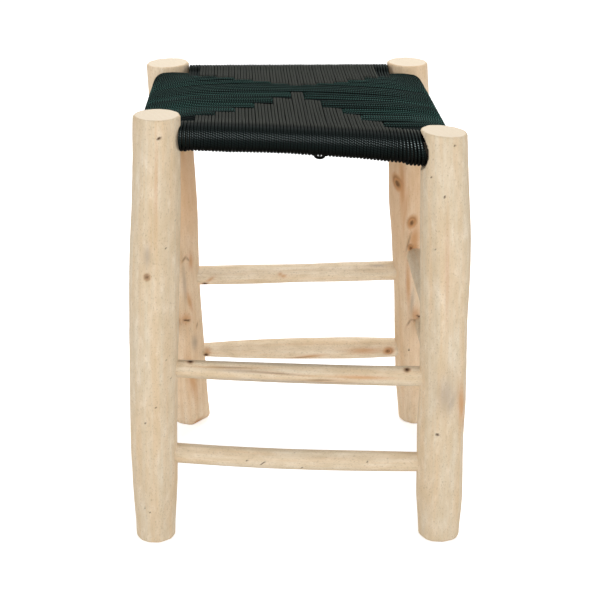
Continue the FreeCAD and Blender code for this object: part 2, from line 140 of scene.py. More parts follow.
# A rail's bar and its tenons, which reach so far from the corners and end short of them.
RAIL_RADIUS = 12.0
TENON_RADIUS = 8.0
TENON_LENGTH = 26.5
TENON_EASE = 6.0
TENON_INSET = 11.0
# Each rail: its corners, its two ends and its seed.
RAILS = {
    "seat_rail_front": (RAIL_CORNERS, "front_left", "front_right", 71),
    "seat_rail_back": (RAIL_CORNERS, "back_left", "back_right", 73),
    "seat_rail_left": (SIDE_CORNERS, "front_left", "back_left", 79),
    "seat_rail_right": (SIDE_CORNERS, "front_right", "back_right", 83),
}

# The front rail bows up in its middle and is hewn flatter there. At places from left to right:
# how far its middle line rises, and how far its underside does.
FRONT_RAIL_PLACES = (-160, -122, -80, -35, -10, 5, 38, 55, 77, 94, 110, 160)
FRONT_RAIL_RISE = (0.0, 0.1, 1.0, 1.5, 1.6, 1.6, 1.5, 1.3, 0.9, 0.6, 0.3, 0.0)
FRONT_RAIL_BELOW = (2.6, 3.0, 3.1, 4.3, 4.4, 4.1, 3.3, 3.0, 2.2, 1.1, 0.3, 0.0)

# The dark strands go in groups, from left to right, each of which dives at one step.
WARP_GROUPS = (4, 6, 6, 6, 6, 6, 4, 5, 6, 5, 6, 5, 5)
# The green strands go in bands, from front to back, between one step and the next.
WEFT_BANDS = (5, 5, 6, 6, 7, 7, 7, 3, 3, 3, 4, 4, 10)
WARP_COUNT = sum(WARP_GROUPS)
WEFT_COUNT = sum(WEFT_BANDS)
# The steps' distances behind the front rail and before the back rail, at the left and right.
FRONT_STEPS_LEFT = (56.0, 70.0, 88.0, 110.0, 138.0, 166.0)
FRONT_STEPS_RIGHT = (22.0, 47.0, 72.0, 96.0, 129.0, 166.0)
BACK_STEPS_LEFT = (60.0, 71.0, 84.0, 95.0, 103.0, 113.0)
BACK_STEPS_RIGHT = (62.0, 79.0, 92.0, 101.0, 108.0, 113.0)
# Where the outermost dark groups dive, and where the green bands begin and end.
FIRST_DIVE = 21.0
FABRIC_EDGE = 26.5
FABRIC_EDGE_RIGHT = 12.0
SEAT_DEPTH = 309.0
SEAT_WIDTH = 300.0
# How far from the side rails the seat's sag towards them dies out.
DIP_REACH = 44.0
# Both cords lie in groups from 0 to the last. The middle green one is on top all the way.
LAST_GROUP = 12
MIDDLE_GROUP = 6
# Over what length a strand changes layers, and how far in from its rail a green one is level.
CROSSING = 6.0
SIDE_EASE = 40.0
# The dark strands' first and last middles on the front and the back rail, and the distances
# behind the front rail between which the green ones go round the side rails.
WARP_SPANS = {"front": (-122.6, 129.6), "back": (-131.0, 107.0)}
SIDE_SPAN = (28.5, 280.5)

# The feet's rims: how far each is drawn in at the ground.
FOOT_EASE = {"leg_front_left": 1.7, "leg_front_right": 3.0, "leg_back_left": 3.2, "leg_back_right": 3.4}

# The wood's marks, as fields of how strong each is from 0 to 1. One of them darkens the front pieces, as
# painted shade.
WOOD_TINTS = ("dark", "stain", "orange", "warm", "front_dimming")
# How far the wood's pattern moves on, in millimetres, for each step of a piece's seed.
GRAIN_STEP = np.array([31.0, 17.0, 53.0])
# Rings across a post's sawn end, as shares of its radius.
END_SHARES = np.array([0.93, 0.84, 0.72, 0.58, 0.43, 0.28, 0.13, 0.0])


def srgb(text):
    """The linear colour of an sRGB hex value."""
    parts = [int(text[i:i + 2], 16) / 255 for i in (0, 2, 4)]
    linear = [p / 12.92 if p <= 0.04045 else ((p + 0.055) / 1.055) ** 2.4 for p in parts]
    return (*linear, 1.0)


def colour_setting(name, description, text):
    """A colour setting with an sRGB hex value as its default."""
    return bpy.props.FloatVectorProperty(
        name=name, description=description, subtype="COLOR", size=4, default=srgb(text))


class StoolWood(bpy.types.PropertyGroup):
    """Sizes and colours of the hewn wood."""
    facets: bpy.props.IntProperty(
        name="Facets", description="Flats that the drawknife left round a post", default=11)
    facet_wave: bpy.props.FloatProperty(
        name="Facet wave", description="How much a flat's depth changes along a post, in millimetres",
        default=0.5)
    rung_facets: bpy.props.IntProperty(
        name="Rung facets", description="Flats round a rung", default=8)
    pale: colour_setting("Pale wood", "The wood between its grain lines", "f7e7cf")
    grain: colour_setting("Grain", "The wood's darker grain lines", "dcc4a0")
    heart: colour_setting("Heart", "Warmer streaks of heartwood", "e2c299")
    knot: colour_setting("Knot", "Knots and open cracks", "4a3220")
    stain: colour_setting("Stain", "Greyish handling marks", "a99a8c")


class StoolCord(bpy.types.PropertyGroup):
    """Sizes and colours of the braided cords."""
    width: bpy.props.FloatProperty(
        name="Cord width", description="Diameter of the braided cord", default=0.0035,
        subtype="DISTANCE", unit="LENGTH")
    sides: bpy.props.IntProperty(
        name="Sides", description="Sides of the cord's round section", default=8)
    # The dark cord's three colours are one cord in different light: lighter on the flat of the seat, a
    # painted sheen, and darker round the rails and darkest under them, painted shade.
    dark: colour_setting("Dark cord", "Yarn of the dark cord on the flat of the seat", "373a34")
    roll: colour_setting("Dark cord on the roll", "Yarn of the dark cord round the rails", "151d1c")
    under: colour_setting("Dark cord below", "Yarn of the dark cord under the rails", "0e0e0a")
    green: colour_setting("Green cord", "Yarn of the green cord", "0c1917")


class StoolStage(bpy.types.PropertyGroup):
    """The light and the camera."""
    key: bpy.props.FloatProperty(
        name="Key light", description="Power of the front lamp, which sets the others' too", default=52.0,
        unit="POWER", subtype="POWER")
    fill: bpy.props.FloatProperty(
        name="Sky", description="Strength of the even light all round", default=0.44)
    focal: bpy.props.FloatProperty(
        name="Focal length", description="The camera's focal length in millimetres", default=105.26)
    pitch: bpy.props.FloatProperty(
        name="Pitch", description="How far the camera looks down", default=math.radians(20.93),
        subtype="ANGLE", unit="ROTATION")


def post_middle(name, height):
    """The middle of a post at heights in millimetres, in the frame's plan."""
    length, top, foot, bow, _, _ = POSTS[name]
    rise = np.asarray(height, float) / length
    x = foot[0] + (top[0] - foot[0]) * rise + 4 * rise * (1 - rise) * bow + PLAN_SHIFT[0]
    y = foot[1] + (top[1] - foot[1]) * rise + PLAN_SHIFT[1]
    return np.stack([x, y, np.asarray(height, float)], -1)


def smooth_line(places, values, at):
    """A smooth curve through values at places, without overshoot."""
    places = np.asarray(places, float)
    values = np.asarray(values, float)
    steps = np.diff(places)
    slopes = np.diff(values) / steps
    tangents = np.zeros(len(values))
    tangents[0] = slopes[0]
    tangents[-1] = slopes[-1]
    for i in range(1, len(values) - 1):
        if slopes[i - 1] * slopes[i] > 0:
            tangents[i] = 2 * slopes[i - 1] * slopes[i] / (slopes[i - 1] + slopes[i])
    at = np.clip(np.asarray(at, float), places[0], places[-1])
    k = np.clip(np.searchsorted(places, at, "right") - 1, 0, len(places) - 2)
    t = (at - places[k]) / steps[k]
    a = values[k] * (1 + 2 * t) * (1 - t) ** 2
    b = tangents[k] * steps[k] * t * (1 - t) ** 2
    c = values[k + 1] * t * t * (3 - 2 * t)
    d = tangents[k + 1] * steps[k] * t * t * (t - 1)
    return a + b + c + d


def wander(rng, at, spacing):
    """A smooth random line with values of about -1 to 1, which turns every so many millimetres."""
    low = float(np.min(at)) - spacing
    count = int((float(np.max(at)) - low) / spacing) + 4
    values = rng.uniform(-1, 1, count)
    return smooth_line(low + spacing * np.arange(count), values, at)


def hewn_radius(rng, radii, along, angles, facets, wave):
    """Radii of a hewn bar: soft flats of a drawknife round a round bar.

    radii and along run along the bar, angles round it. The flats' depth wanders along it. They
    lie a little inside the round bar, which rounds off what stands past it. The powers say how
    sharply flats meet each other and the round bar.
    """
    flat_share, round_share = 0.976, 1.004
    flat_power, round_power = 60.0, 90.0
    total = np.zeros((len(along), len(angles)))
    for i in range(facets):
        middle = 2 * np.pi * (i + rng.uniform(-0.24, 0.24)) / facets
        sway = wander(rng, along, 150.0) * 0.10
        depth = radii * flat_share + wave * wander(rng, along, 65.0)
        facing = np.cos(angles - (middle + sway)[:, None])
        reach = depth[:, None] / np.maximum(facing, 0.05)
        total += reach ** -flat_power
    flats = total ** (-1 / flat_power)
    round_bar = np.broadcast_to(radii[:, None] * round_share, flats.shape)
    return (flats ** -round_power + round_bar ** -round_power) ** (-1 / round_power)


def add_object(name, data):
    """A new object in the scene."""
    made = bpy.data.objects.new(name, data)
    bpy.context.scene.collection.objects.link(made)
    return made


def skin(name, rings, attributes):
    """A closed mesh from rings of points whose first and last rings close on a point.

    rings is an array of (ring, point round it, xyz) in millimetres, and attributes is a
    dictionary of name to an array of the same rings and points.
    """
    rows, around = rings.shape[:2]
    body = rings[1:-1].reshape(-1, 3)
    first = rings[0].mean(0)
    last = rings[-1].mean(0)
    points = np.concatenate([body, first[None], last[None]]) * MM
    faces = []
    inner = rows - 2
    for r in range(inner - 1):
        low = r * around
        high = low + around
        for i in range(around):
            j = (i + 1) % around
            faces.append((low + i, low + j, high + j, high + i))
    start = inner * around
    top = (inner - 1) * around
    for i in range(around):
        j = (i + 1) % around
        faces.append((start, j, i))
        faces.append((start + 1, top + i, top + j))
    mesh = bpy.data.meshes.new(name)
    mesh.from_pydata(points.tolist(), [], faces)
    for label, values in attributes.items():
        flat = values[1:-1].reshape(inner * around, -1)
        ends = np.stack([values[0].reshape(around, -1).mean(0), values[-1].reshape(around, -1).mean(0)])
        data = np.concatenate([flat, ends]).astype(np.float32)
        kind = "FLOAT_VECTOR" if data.shape[1] == 3 else "FLOAT"
        field = "vector" if data.shape[1] == 3 else "value"
        mesh.attributes.new(label, kind, "POINT").data.foreach_set(field, data.ravel())
    mesh.shade_smooth()
    return add_object(name, mesh)


# Marks on the wood: kind, height or place along, angle from the front, length, width and turn.
# Lengths are millimetres, and angles are degrees towards the right, or upwards on a rung.
POST_MARKS = {
    "leg_front_left": [
        ("slit", 480, 11, 2.9, 4.6, -35), ("dark_knot", 326, -13, 3.2, 3.0, 0),
        ("knot", 326, -13, 7.0, 6.0, 0), ("stain", 350, -13, 26, 9, 0),
        ("streak", 425, 6, 96, 3.0, 0), ("dot", 386, 55, 1.4, 1.4, 0), ("dot", 358, 29, 1.6, 1.6, 0),
        ("dot", 228, 35, 1.6, 1.6, 0), ("dot", 204, 50, 1.6, 1.6, 0), ("dot", 172, 8, 1.8, 1.5, 0),
        ("dot", 152, -19, 1.6, 1.6, 0), ("dot", 44, -25, 1.7, 1.7, 0), ("dot", 40, -10, 1.5, 1.5, 0),
    ],
    "leg_front_right": [
        ("dot", 472, 23, 2.4, 2.4, 0), ("dot", 436, -37, 2.2, 2.2, 0), ("dot", 416, -4, 2.6, 2.4, 0),
        ("dot", 356, -25, 1.8, 1.8, 0), ("slit", 138, -16, 2.8, 4.2, 30), ("stain", 186, 2, 46, 20, 0),
        ("stain", 184, 0, 24, 12, 0), ("stain", 176, 16, 30, 11, 20), ("orange", 172, 48, 48, 13, -6),
        ("orange", 150, 62, 20, 6, 0), ("streak", 330, 2, 120, 5, 0),
    ],
    "leg_back_left": [
        ("crack", 235, 14, 9, 2.4, 38), ("crack", 234, 24, 9, 2.4, -38), ("slit", 151, 10, 2.4, 9, 10),
        ("orange", 152, 10, 6, 12, 10), ("orange", 153, 8, 16, 15, 0), ("orange", 176, 22, 30, 6, -12),
        ("stain", 118, 30, 20, 10, 0), ("crack", 141, 44, 7, 2.4, 20), ("orange", 70, 14, 60, 10, -8),
        ("orange", 400, 30, 60, 7, 0), ("orange", 230, 34, 24, 8, 0), ("stain", 200, 10, 50, 6, 0),
        ("orange", 4, 34, 10, 16, 0),
    ],
    "leg_back_right": [
        ("burl", 334, -40, 20, 13, -35), ("burl", 284, -1, 15, 10, 20), ("slit", 241, 15, 2.6, 15, 4),
        ("crack", 237, -2, 2.6, 14, -30), ("crack", 257, -12, 26, 2.2, 16), ("orange", 262, 4, 34, 14, 10),
        ("burl", 250, -6, 10, 7, 0), ("streak", 300, -18, 60, 6, 8), ("slit", 155, 14, 2.4, 9, 30),
        ("crack", 150, 2, 2.6, 12, 14), ("orange", 158, 4, 22, 12, 0), ("crack", 147, -16, 12, 2.2, 30),
        ("orange", 200, -16, 60, 7, 0), ("stain", 176, -6, 40, 5, 6), ("dot", 108, -19, 1.9, 1.9, 0),
        ("orange", 330, -25, 70, 8, 0), ("orange", 250, 5, 40, 10, 0),
    ],
}
RUNG_MARKS = {
    "rung_front_upper": [
        ("dark_knot", 14, 76, 6, 5.5, 0), ("dark_knot", 255, 60, 6.5, 5.5, 0),
        ("crack", 58, 44, 50, 1.9, 1),
        # The long stain along this rung's lower side is painted shade.
        ("crack", 112, 18, 60, 1.8, -2), ("crack", 160, -14, 36, 1.8, 2), ("stain", 120, -38, 190, 7, 0),
        ("stain", 70, 25, 60, 4, 0), ("streak", 170, -30, 60, 3, 0), ("orange", 205, 10, 70, 5, 0),
    ],
    "rung_front_lower": [
        ("dot", 79, 5, 1.8, 1.8, 0), ("dot", 215, 20, 2.2, 2.0, 0), ("slit", 97, -5, 8, 1.2, 35),
        ("slit", 141, -30, 4, 1.1, 60),
    ],
    "rung_back_upper": [
        ("orange", 10, -10, 14, 5, 35), ("dark_knot", 3, -46, 6.5, 5, 0), ("orange", 100, 16, 6, 5, 0),
        ("orange", 104, 4, 8, 5, 0), ("stain", 225, 55, 24, 4, 0),
    ],
    "rung_back_lower": [
        ("orange", 1, 5, 9.0, 11.0, 0), ("dark_knot", -1, -25, 6.0, 5.5, 0), ("burl", 236, 0, 12, 9, 0),
        ("crack", 122, -40, 30, 2.4, 10), ("orange", 132, -30, 40, 6, 8), ("orange", 205, 5, 50, 8, 0),
    ],
    "rung_left_upper": [("knot", 90, 40, 5.0, 4.0, 0)],
    "rung_left_lower": [("dark_knot", 190, -60, 5.0, 4.0, 0), ("slit", 120, 90, 30, 1.1, 3)],
    "rung_right_upper": [("dot", 120, -90, 2.0, 2.0, 0), ("slit", 200, -80, 26, 1.1, 4)],
    "rung_right_lower": [("knot", 150, -75, 5.0, 4.5, 0)],
}


def mark_fields(marks, along, angles, radii):
    """The wood's marks over a bar: a field for each tint, and a dent in millimetres."""
    fields = {key: np.zeros((len(along), len(angles))) for key in (*WOOD_TINTS, "dent")}

    def deepen(key, values):
        fields[key] = np.maximum(fields[key], values)

    for kind, place, angle, length, width, turn in marks:
        turned = (angles[None] - math.radians(angle) + np.pi) % (2 * np.pi) - np.pi
        across = turned * radii[:, None]
        up = (along - place)[:, None]
        c, s = math.cos(math.radians(turn)), math.sin(math.radians(turn))
        u = (up * c + across * s) / (length / 2)
        v = (across * c - up * s) / (width / 2)
        far = np.sqrt(u * u + v * v)
        soft = np.clip(1.35 - far, 0, 1)
        if kind in ("dot", "slit"):
            deepen("dark", np.minimum(soft * 1.5, 1.0))
            fields["dent"] += soft * 0.35
        elif kind == "crack":
            deepen("dark", soft * 0.48)
            deepen("orange", np.clip(2.2 - far, 0, 1) * 0.32)
        elif kind in ("knot", "dark_knot"):
            ring = np.exp(-((far - 1.0) / 0.28) ** 2)
            core = np.clip((1.15 - far) * 1.6, 0, 1)
            deepen("dark", np.maximum(ring * 0.4, core * (1.0 if kind == "dark_knot" else 0.55)))
            deepen("orange", np.clip(1.8 - far, 0, 1) * 0.6)
            fields["dent"] -= np.clip(1.6 - far, 0, 1) * 0.35
        elif kind == "burl":
            swirl = 0.5 + 0.5 * np.sin(far * 7.0 + u * 2.0)
            deepen("dark", np.clip(1.3 - far, 0, 1) * swirl * 0.8)
            deepen("orange", np.clip(1.7 - far, 0, 1))
            fields["dent"] -= np.clip(1.5 - far, 0, 1) * 0.7
        else:
            tint = "stain" if kind == "stain" else "orange"
            deepen(tint, np.exp(-far * far * 1.1) * (0.5 if kind == "streak" else 0.8))
    return fields


def hollow_for_roll(rings):
    """The x of the front right post's points, cut back where the end of the front roll sits."""
    x, y, z = rings[..., 0], rings[..., 1], rings[..., 2]
    axis = np.array(RAIL_CORNERS["front_right"]) + PLAN_SHIFT
    # The roll's radius, the width of the hollow's rim, and how far left of the post's axis they are.
    roll, rim = 15.4, 4.5
    floor, lip = 12.4, 24.7
    far = np.hypot(y - axis[1], z - (axis[2] - 1.0))
    wall = axis[0] - floor - (lip - floor) * s_bend((far - roll) / rim)
    return np.where((x < axis[0]) & (far < roll + rim), np.maximum(x, wall), x)


def chipped_foot(rings, middles):
    """The back left post's points, cut back by the slanting chip on its foot's inner front."""
    # Its face looks out and down, and starts 13.6 mm from the middle of the foot.
    out = np.array([0.80, -0.60, 0.0])
    slope = out * 0.80 + np.array([0, 0, -0.60])
    edge = middles[0] + out * 13.6
    past = np.maximum(((rings - edge) * slope).sum(-1), 0)
    return rings - past[..., None] * out / np.dot(slope, out)


def round_angles(around):
    """The angles of the points round a bar."""
    return np.linspace(0, 2 * np.pi, around, endpoint=False)


def grain_places(across, upward, along):
    """Where each point of a bar lies in the wood: across the grain twice, then along it."""
    return np.stack([across, upward, np.broadcast_to(along[:, None], across.shape)], -1)


def sawn_end(edge, dome):
    """Rings from a post's edge to the middle of its sawn end, which rises by so many millimetres."""
    centre = edge.mean(0)
    rings = centre + (edge - centre)[None] * END_SHARES[:, None, None]
    rings[..., 2] += dome * (1 - END_SHARES ** 2)[:, None]
    blank = np.zeros(rings.shape[:2])
    return {"rings": rings, "grain": rings - centre * np.array([1.0, 1.0, 0.0]), "sawn": blank + 1.0,
            **{key: blank for key in WOOD_TINTS}}


def hewn_piece(name, parts, seed):
    """A hewn piece's object, with the fields that its wood's material reads."""
    attributes = {"grain": parts["grain"] * MM + seed * GRAIN_STEP * MM}
    for key in (*WOOD_TINTS, "sawn"):
        attributes[key] = parts[key]
    return skin(name + "_hewn", parts["rings"], attributes)


def make_post(name, wood):
    """A hewn post: soft flats, a drawn-in foot with an eased rim, a sawn slanting top."""
    length, _, _, _, fall, seed = POSTS[name]
    rng = np.random.default_rng(seed)
    around = 96
    angles = round_angles(around)
    # Rings lie close together at the eased rims: how far each is in from the foot, then the top.
    foot_rim = np.array([0, 0.35, 1.2, 2.4])
    top_rim = length - np.array([1.5, 0.9, 0.35, 0])
    heights = np.concatenate([foot_rim, np.arange(4.0, length - 1.6, 1.5), top_rim])
    radii = smooth_line(np.array(STATIONS) * length, np.array(DIAMETERS[name]) / 2, heights)
    hewn = hewn_radius(rng, radii, heights, angles, wood.facets, wood.facet_wave)
    fields = mark_fields(POST_MARKS[name], heights, angles, radii)
    hewn = hewn - fields["dent"]
    if "back" in name:
        # The back posts are of redder wood, and are painted darker and warmer under the seat, as its
        # shadow.
        fields["warm"] += 0.30 + 0.20 * wander(rng, heights, 60.0)[:, None] * np.cos(angles)
        painted_seat_shade = s_bend((heights - 190.0) / 140.0) * s_bend((452.0 - heights) / 16.0)
        fields["warm"] += 0.40 * painted_seat_shade[:, None]
        fields["orange"] += 0.18 * painted_seat_shade[:, None]
    else:
        # The front ones are painted darker and duller, as painted shade that evens out their light with the
        # back ones.
        fields["front_dimming"] += 0.9
    for side, facing in zip(POST_SIDES[name], (-np.sin(angles), np.sin(angles))):
        swell = smooth_line([h for h, _ in side], [v for _, v in side], heights)
        hewn = hewn + swell[:, None] * np.maximum(facing, 0) ** 1.5
    rough = wander(rng, heights, 9.0) * 0.13
    hewn = hewn + rough[:, None] * np.sin(angles * 2 + rng.uniform(0, 6))
    foot = -FOOT_EASE[name]
    ease = np.interp(heights, [*foot_rim, 4.0, *top_rim],
                     [foot, foot * 0.72, foot * 0.39, foot * 0.14, 0, 0, -0.25, -0.65, -1.2])
    ragged = wander(rng, np.arange(around) * 6.0, 14.0) * 0.3
    ragged = ragged * (1 - np.abs(np.linspace(-1, 1, around)) ** 8)
    rim = np.clip(1 - np.abs(heights - length) / 2.0, 0, 1)
    hewn = hewn + ease[:, None] + ragged * rim[:, None]
    middles = post_middle(name, heights)
    x = hewn * np.sin(angles)
    y = -hewn * np.cos(angles)
    grain = grain_places(x, y, heights)
    rings = grain + middles[:, None, :] * np.array([1.0, 1.0, 0.0])
    if name == "leg_front_right":
        rings[..., 0] = hollow_for_roll(rings)
    if name == "leg_back_left":
        rings = chipped_foot(rings, middles)
    near_top = np.clip((heights - (length - 40)) / 40, 0, 1)[:, None]
    rings[..., 2] -= near_top * fall * x
    sides = {"rings": rings, "grain": grain, "sawn": np.zeros(x.shape), **fields}
    foot_end = sawn_end(rings[0], 0.4)
    top_end = sawn_end(rings[-1], 0.8)
    return hewn_piece(name, {key: np.concatenate([foot_end[key][::-1], sides[key], top_end[key]])
                             for key in foot_end}, seed)


def bar_axes(start, end):
    """A bar's length, its direction, and the directions that face outwards and up across it."""
    length = float(np.linalg.norm(end - start))
    direction = (end - start) / length
    side = np.cross(direction, [0, 0, 1.0])
    side /= np.linalg.norm(side)
    return length, direction, side, np.cross(side, direction)


def bar_places(low, high, step, past):
    """Places of a bar's rings from low to high, with a close pair at each end."""
    return np.concatenate([[low, low + 0.5], np.arange(low + past, high - past, step), [high - 0.5, high]])


def with_ends(values):
    """Values at a bar's rings, with the first and the last one twice."""
    return np.concatenate([values[:1], values, values[-1:]])


def make_rung(name, wood):
    """A hewn rung with a soft belly, from a little inside one post to inside the other."""
    post_a, post_b, height_a, height_b, aside, sag, diameters, seed = RUNGS[name]
    rng = np.random.default_rng(seed)
    left = np.array([aside, 0, 0])
    start = post_middle(post_a, height_a) - left
    length, direction, side, up = bar_axes(start, post_middle(post_b, height_b) - left)
    along = bar_places(RUNG_INSET, length - RUNG_INSET, 1.5, 1.5)
    angles = round_angles(56)
    places = np.linspace(POST_FACE, length - POST_FACE, len(diameters))
    radii = smooth_line(places, np.array(diameters) / 2, along)
    hewn = hewn_radius(rng, radii, along, angles, wood.rung_facets, wood.facet_wave * 0.7)
    marks = [(kind, place + POST_FACE, *rest) for kind, place, *rest in RUNG_MARKS[name]]
    fields = mark_fields(marks, along, angles, radii)
    # All but the back rungs are painted darker too, as painted shade that evens out the light.
    fields["front_dimming"] += 0.0 if "back" in name else 0.6
    hewn = hewn - fields["dent"]
    hewn[[0, -1]] -= 1.0
    share = along / length
    sway = wander(rng, along, 110.0) * 0.35 - sag * 4 * share * (1 - share)
    line = start + along[:, None] * direction + up * sway[:, None]
    # Angle 0 faces the front or the outside, and angles grow upwards from there.
    a = hewn * np.cos(angles)
    b = hewn * np.sin(angles)
    parts = {"rings": line[:, None, :] + a[..., None] * side + b[..., None] * up,
             "grain": grain_places(a, b, along), "sawn": np.zeros(a.shape), **fields}
    parts = {key: with_ends(values) for key, values in parts.items()}
    parts["rings"][0] = line[0]
    parts["rings"][-1] = line[-1]
    return hewn_piece(name, parts, seed)


def make_rail(name, wood):
    """A hewn rail, drawn in to a tenon at each end. The front one bows up and is flatter below."""
    corners, first, last, seed = RAILS[name]
    rng = np.random.default_rng(seed)
    start = np.array(corners[first])
    length, direction, side, up = bar_axes(start, np.array(corners[last]))
    along = bar_places(TENON_INSET, length - TENON_INSET, 3.0, 2.0)
    angles = round_angles(40)
    bar = RAIL_RADIUS - 0.5
    full = eased_ends(along - TENON_LENGTH, length - 2 * TENON_LENGTH, TENON_EASE)
    radii = TENON_RADIUS + (bar - TENON_RADIUS) * full
    hewn = hewn_radius(rng, radii, along, angles, wood.rung_facets, 0.2)
    hewn[[0, -1]] -= 1.0
    line = start + along[:, None] * direction
    a = hewn * np.cos(angles)
    b = hewn * np.sin(angles)
    if name == "seat_rail_front":
        rise, below = front_rail_shape(line[:, 0])
        line[:, 2] += rise
        flatter = 1 - (below - rise) / bar
        b = np.where(b < 0, b * flatter[:, None], b)
    rings = line[:, None, :] + a[..., None] * side + b[..., None] * up + PLAN_SHIFT
    grain = with_ends(grain_places(a, b, along)) * MM + seed * GRAIN_STEP[0] * MM
    return skin(name + "_hewn", with_ends(rings), {"grain": grain})


def front_rail_shape(x):
    """How far the front rail's middle line and its underside rise at places along it."""
    return (smooth_line(FRONT_RAIL_PLACES, FRONT_RAIL_RISE, x),
            smooth_line(FRONT_RAIL_PLACES, FRONT_RAIL_BELOW, x))


def add_node(tree, kind, settings=None, values=None):
    """Add a node, set its properties, and set or link its inputs."""
    node = tree.nodes.new(kind)
    for key, value in (settings or {}).items():
        setattr(node, key, value)
    for key, value in (values or {}).items():
        socket = node.inputs[key]
        if isinstance(value, bpy.types.NodeSocket):
            tree.links.new(value, socket)
        else:
            socket.default_value = value
    return node


def empty_tree(block):
    """The emptied node tree of a material or a world."""
    block.use_nodes = True
    block.node_tree.nodes.clear()
    return block.node_tree


def paint(tree, colour, layers):
    """A colour under layers of others.

    Each layer is its field, the two values between which it grows, its strength and its colour.
    """
    for value, low, high, strength, layer in layers:
        factor = add_node(tree, "ShaderNodeMapRange", None,
                          {"Value": value, "From Min": low, "From Max": high, "To Max": strength})
        colour = add_node(tree, "ShaderNodeMix", {"data_type": "RGBA"},
                          {0: factor.outputs[0], 6: colour, 7: layer}).outputs[2]
    return colour


def surface(tree, values, height, strength, distance=0.0005):
    """End a material's tree with its shader, which has these values and a fine relief."""
    bump = add_node(tree, "ShaderNodeBump", None,
                    {"Height": height, "Strength": strength, "Distance": distance})
    shader = add_node(tree, "ShaderNodeBsdfPrincipled", None, {**values, "Normal": bump.outputs[0]})
    add_node(tree, "ShaderNodeOutputMaterial", None, {"Surface": shader.outputs[0]})


def hewn_wood(wood):
    """Bare pale softwood shaped with a drawknife.

    It gives the eye long faint grain, warmer streaks, tiny dark pores and dents, a dry surface
    with almost no gloss, and rings and saw lines on the sawn ends.
    """
    material = bpy.data.materials.new("hewn_pale_softwood")
    tree = empty_tree(material)
    place = add_node(tree, "ShaderNodeAttribute", {"attribute_name": "grain"}).outputs["Vector"]
    field = {}
    for key in (*WOOD_TINTS, "sawn"):
        field[key] = add_node(tree, "ShaderNodeAttribute", {"attribute_name": key}).outputs["Fac"]
    # Noises drawn out along the grain. Lines are 1.6 mm apart and some 80 mm long, streaks 9 mm
    # wide, blotches 40 mm, mottles 7 mm, and specks, from the drawknife's chatter, 1.5 mm.
    for key, scale, detail in (("line", (620.0, 620.0, 12.0), 3.0), ("streak", (110.0, 110.0, 6.5), 2.0),
                               ("blotch", (26.0, 26.0, 16.0), 3.0), ("mottle", (150.0, 150.0, 55.0), 3.0),
                               ("speck", (700.0, 700.0, 420.0), 2.0)):
        drawn = add_node(tree, "ShaderNodeMapping", None, {"Vector": place, "Scale": scale})
        noise = add_node(tree, "ShaderNodeTexNoise", None,
                         {"Vector": drawn.outputs[0], "Scale": 1.0, "Detail": detail, "Roughness": 0.6})
        field[key] = noise.outputs["Fac"]
    # Pores: dark flecks up to 0.8 mm wide and 3 mm long, some 3.5 mm apart.
    drawn = add_node(tree, "ShaderNodeMapping", None, {"Vector": place, "Scale": (520.0, 520.0, 130.0)})
    pores = add_node(tree, "ShaderNodeTexVoronoi", None, {"Vector": drawn.outputs[0], "Scale": 0.55})
    field["pore"] = pores.outputs["Distance"]
    # Sawn ends show growth rings about 6 mm apart and saw lines 2.4 mm apart across them.
    for key, settings, values in (
        ("ring", {"wave_type": "RINGS", "rings_direction": "Z", "wave_profile": "SAW"},
         {"Scale": 50.0, "Distortion": 2.5, "Detail Scale": 40.0}),
        ("saw", {"bands_direction": "X"}, {"Scale": 130.0, "Distortion": 3.0, "Detail Scale": 3.0}),
    ):
        wave = add_node(tree, "ShaderNodeTexWave", settings, {"Vector": place, "Detail": 2.0, **values})
        field[key] = add_node(tree, "ShaderNodeMath", {"operation": "MULTIPLY"},
                              {0: wave.outputs["Fac"], 1: field["sawn"]}).outputs[0]
    # The front pieces' darker layer is painted shade, and the warm and orange layers hold the painted shade
    # under the seat besides the wood's own warmth and marks.
    colour = paint(tree, wood.pale, [(field[key], *rest) for key, *rest in (
        ("front_dimming", 0.0, 1.0, 0.95, srgb("dccdb5")), ("line", 0.42, 0.72, 0.55, wood.grain),
        ("streak", 0.40, 0.68, 0.55, wood.heart), ("blotch", 0.40, 0.68, 0.40, srgb("d3b994")),
        ("mottle", 0.48, 0.72, 0.42, srgb("cdb793")), ("mottle", 0.46, 0.25, 0.35, srgb("fbeedb")),
        ("speck", 0.56, 0.74, 0.55, srgb("ad9779")), ("warm", 0.0, 1.0, 0.80, srgb("f2c698")),
        ("pore", 0.11, 0.06, 0.26, wood.knot), ("sawn", 0.0, 1.0, 0.95, srgb("f3e4cd")),
        ("ring", 0.0, 1.0, 0.10, wood.heart), ("orange", 0.0, 1.0, 0.80, srgb("c98a50")),
        ("stain", 0.0, 1.0, 0.72, wood.stain), ("dark", 0.0, 1.0, 1.0, wood.knot),
    )])
    # Relief: grain lines, chatter, dents, open marks and saw lines.
    height = field["line"]
    for key, strength in (("speck", 0.9), ("mottle", 0.8), ("dark", -1.5), ("saw", 0.7)):
        height = add_node(tree, "ShaderNodeMath", {"operation": "MULTIPLY_ADD"},
                          {0: field[key], 1: strength, 2: height}).outputs[0]
    surface(tree, {"Base Color": colour, "Roughness": 0.78, "IOR": 1.45, "Specular IOR Level": 0.25},
            height, 0.45)
    return material


def rail_wood():
    """Dark bare softwood of the seat rails: dull, with long faint grain."""
    material = bpy.data.materials.new("dark_rail_softwood")
    tree = empty_tree(material)
    place = add_node(tree, "ShaderNodeAttribute", {"attribute_name": "grain"}).outputs["Vector"]
    # Grain lines 2.4 mm apart and some 70 mm long.
    drawn = add_node(tree, "ShaderNodeMapping", None, {"Vector": place, "Scale": (420.0, 420.0, 14.0)})
    noise = add_node(tree, "ShaderNodeTexNoise", None,
                     {"Vector": drawn.outputs[0], "Scale": 1.0, "Detail": 3.0}).outputs["Fac"]
    colour = paint(tree, srgb("5c5347"), [(noise, 0.0, 1.0, 1.0, srgb("3f372e"))])
    surface(tree, {"Base Color": colour, "Roughness": 0.8}, noise, 0.3)
    return material


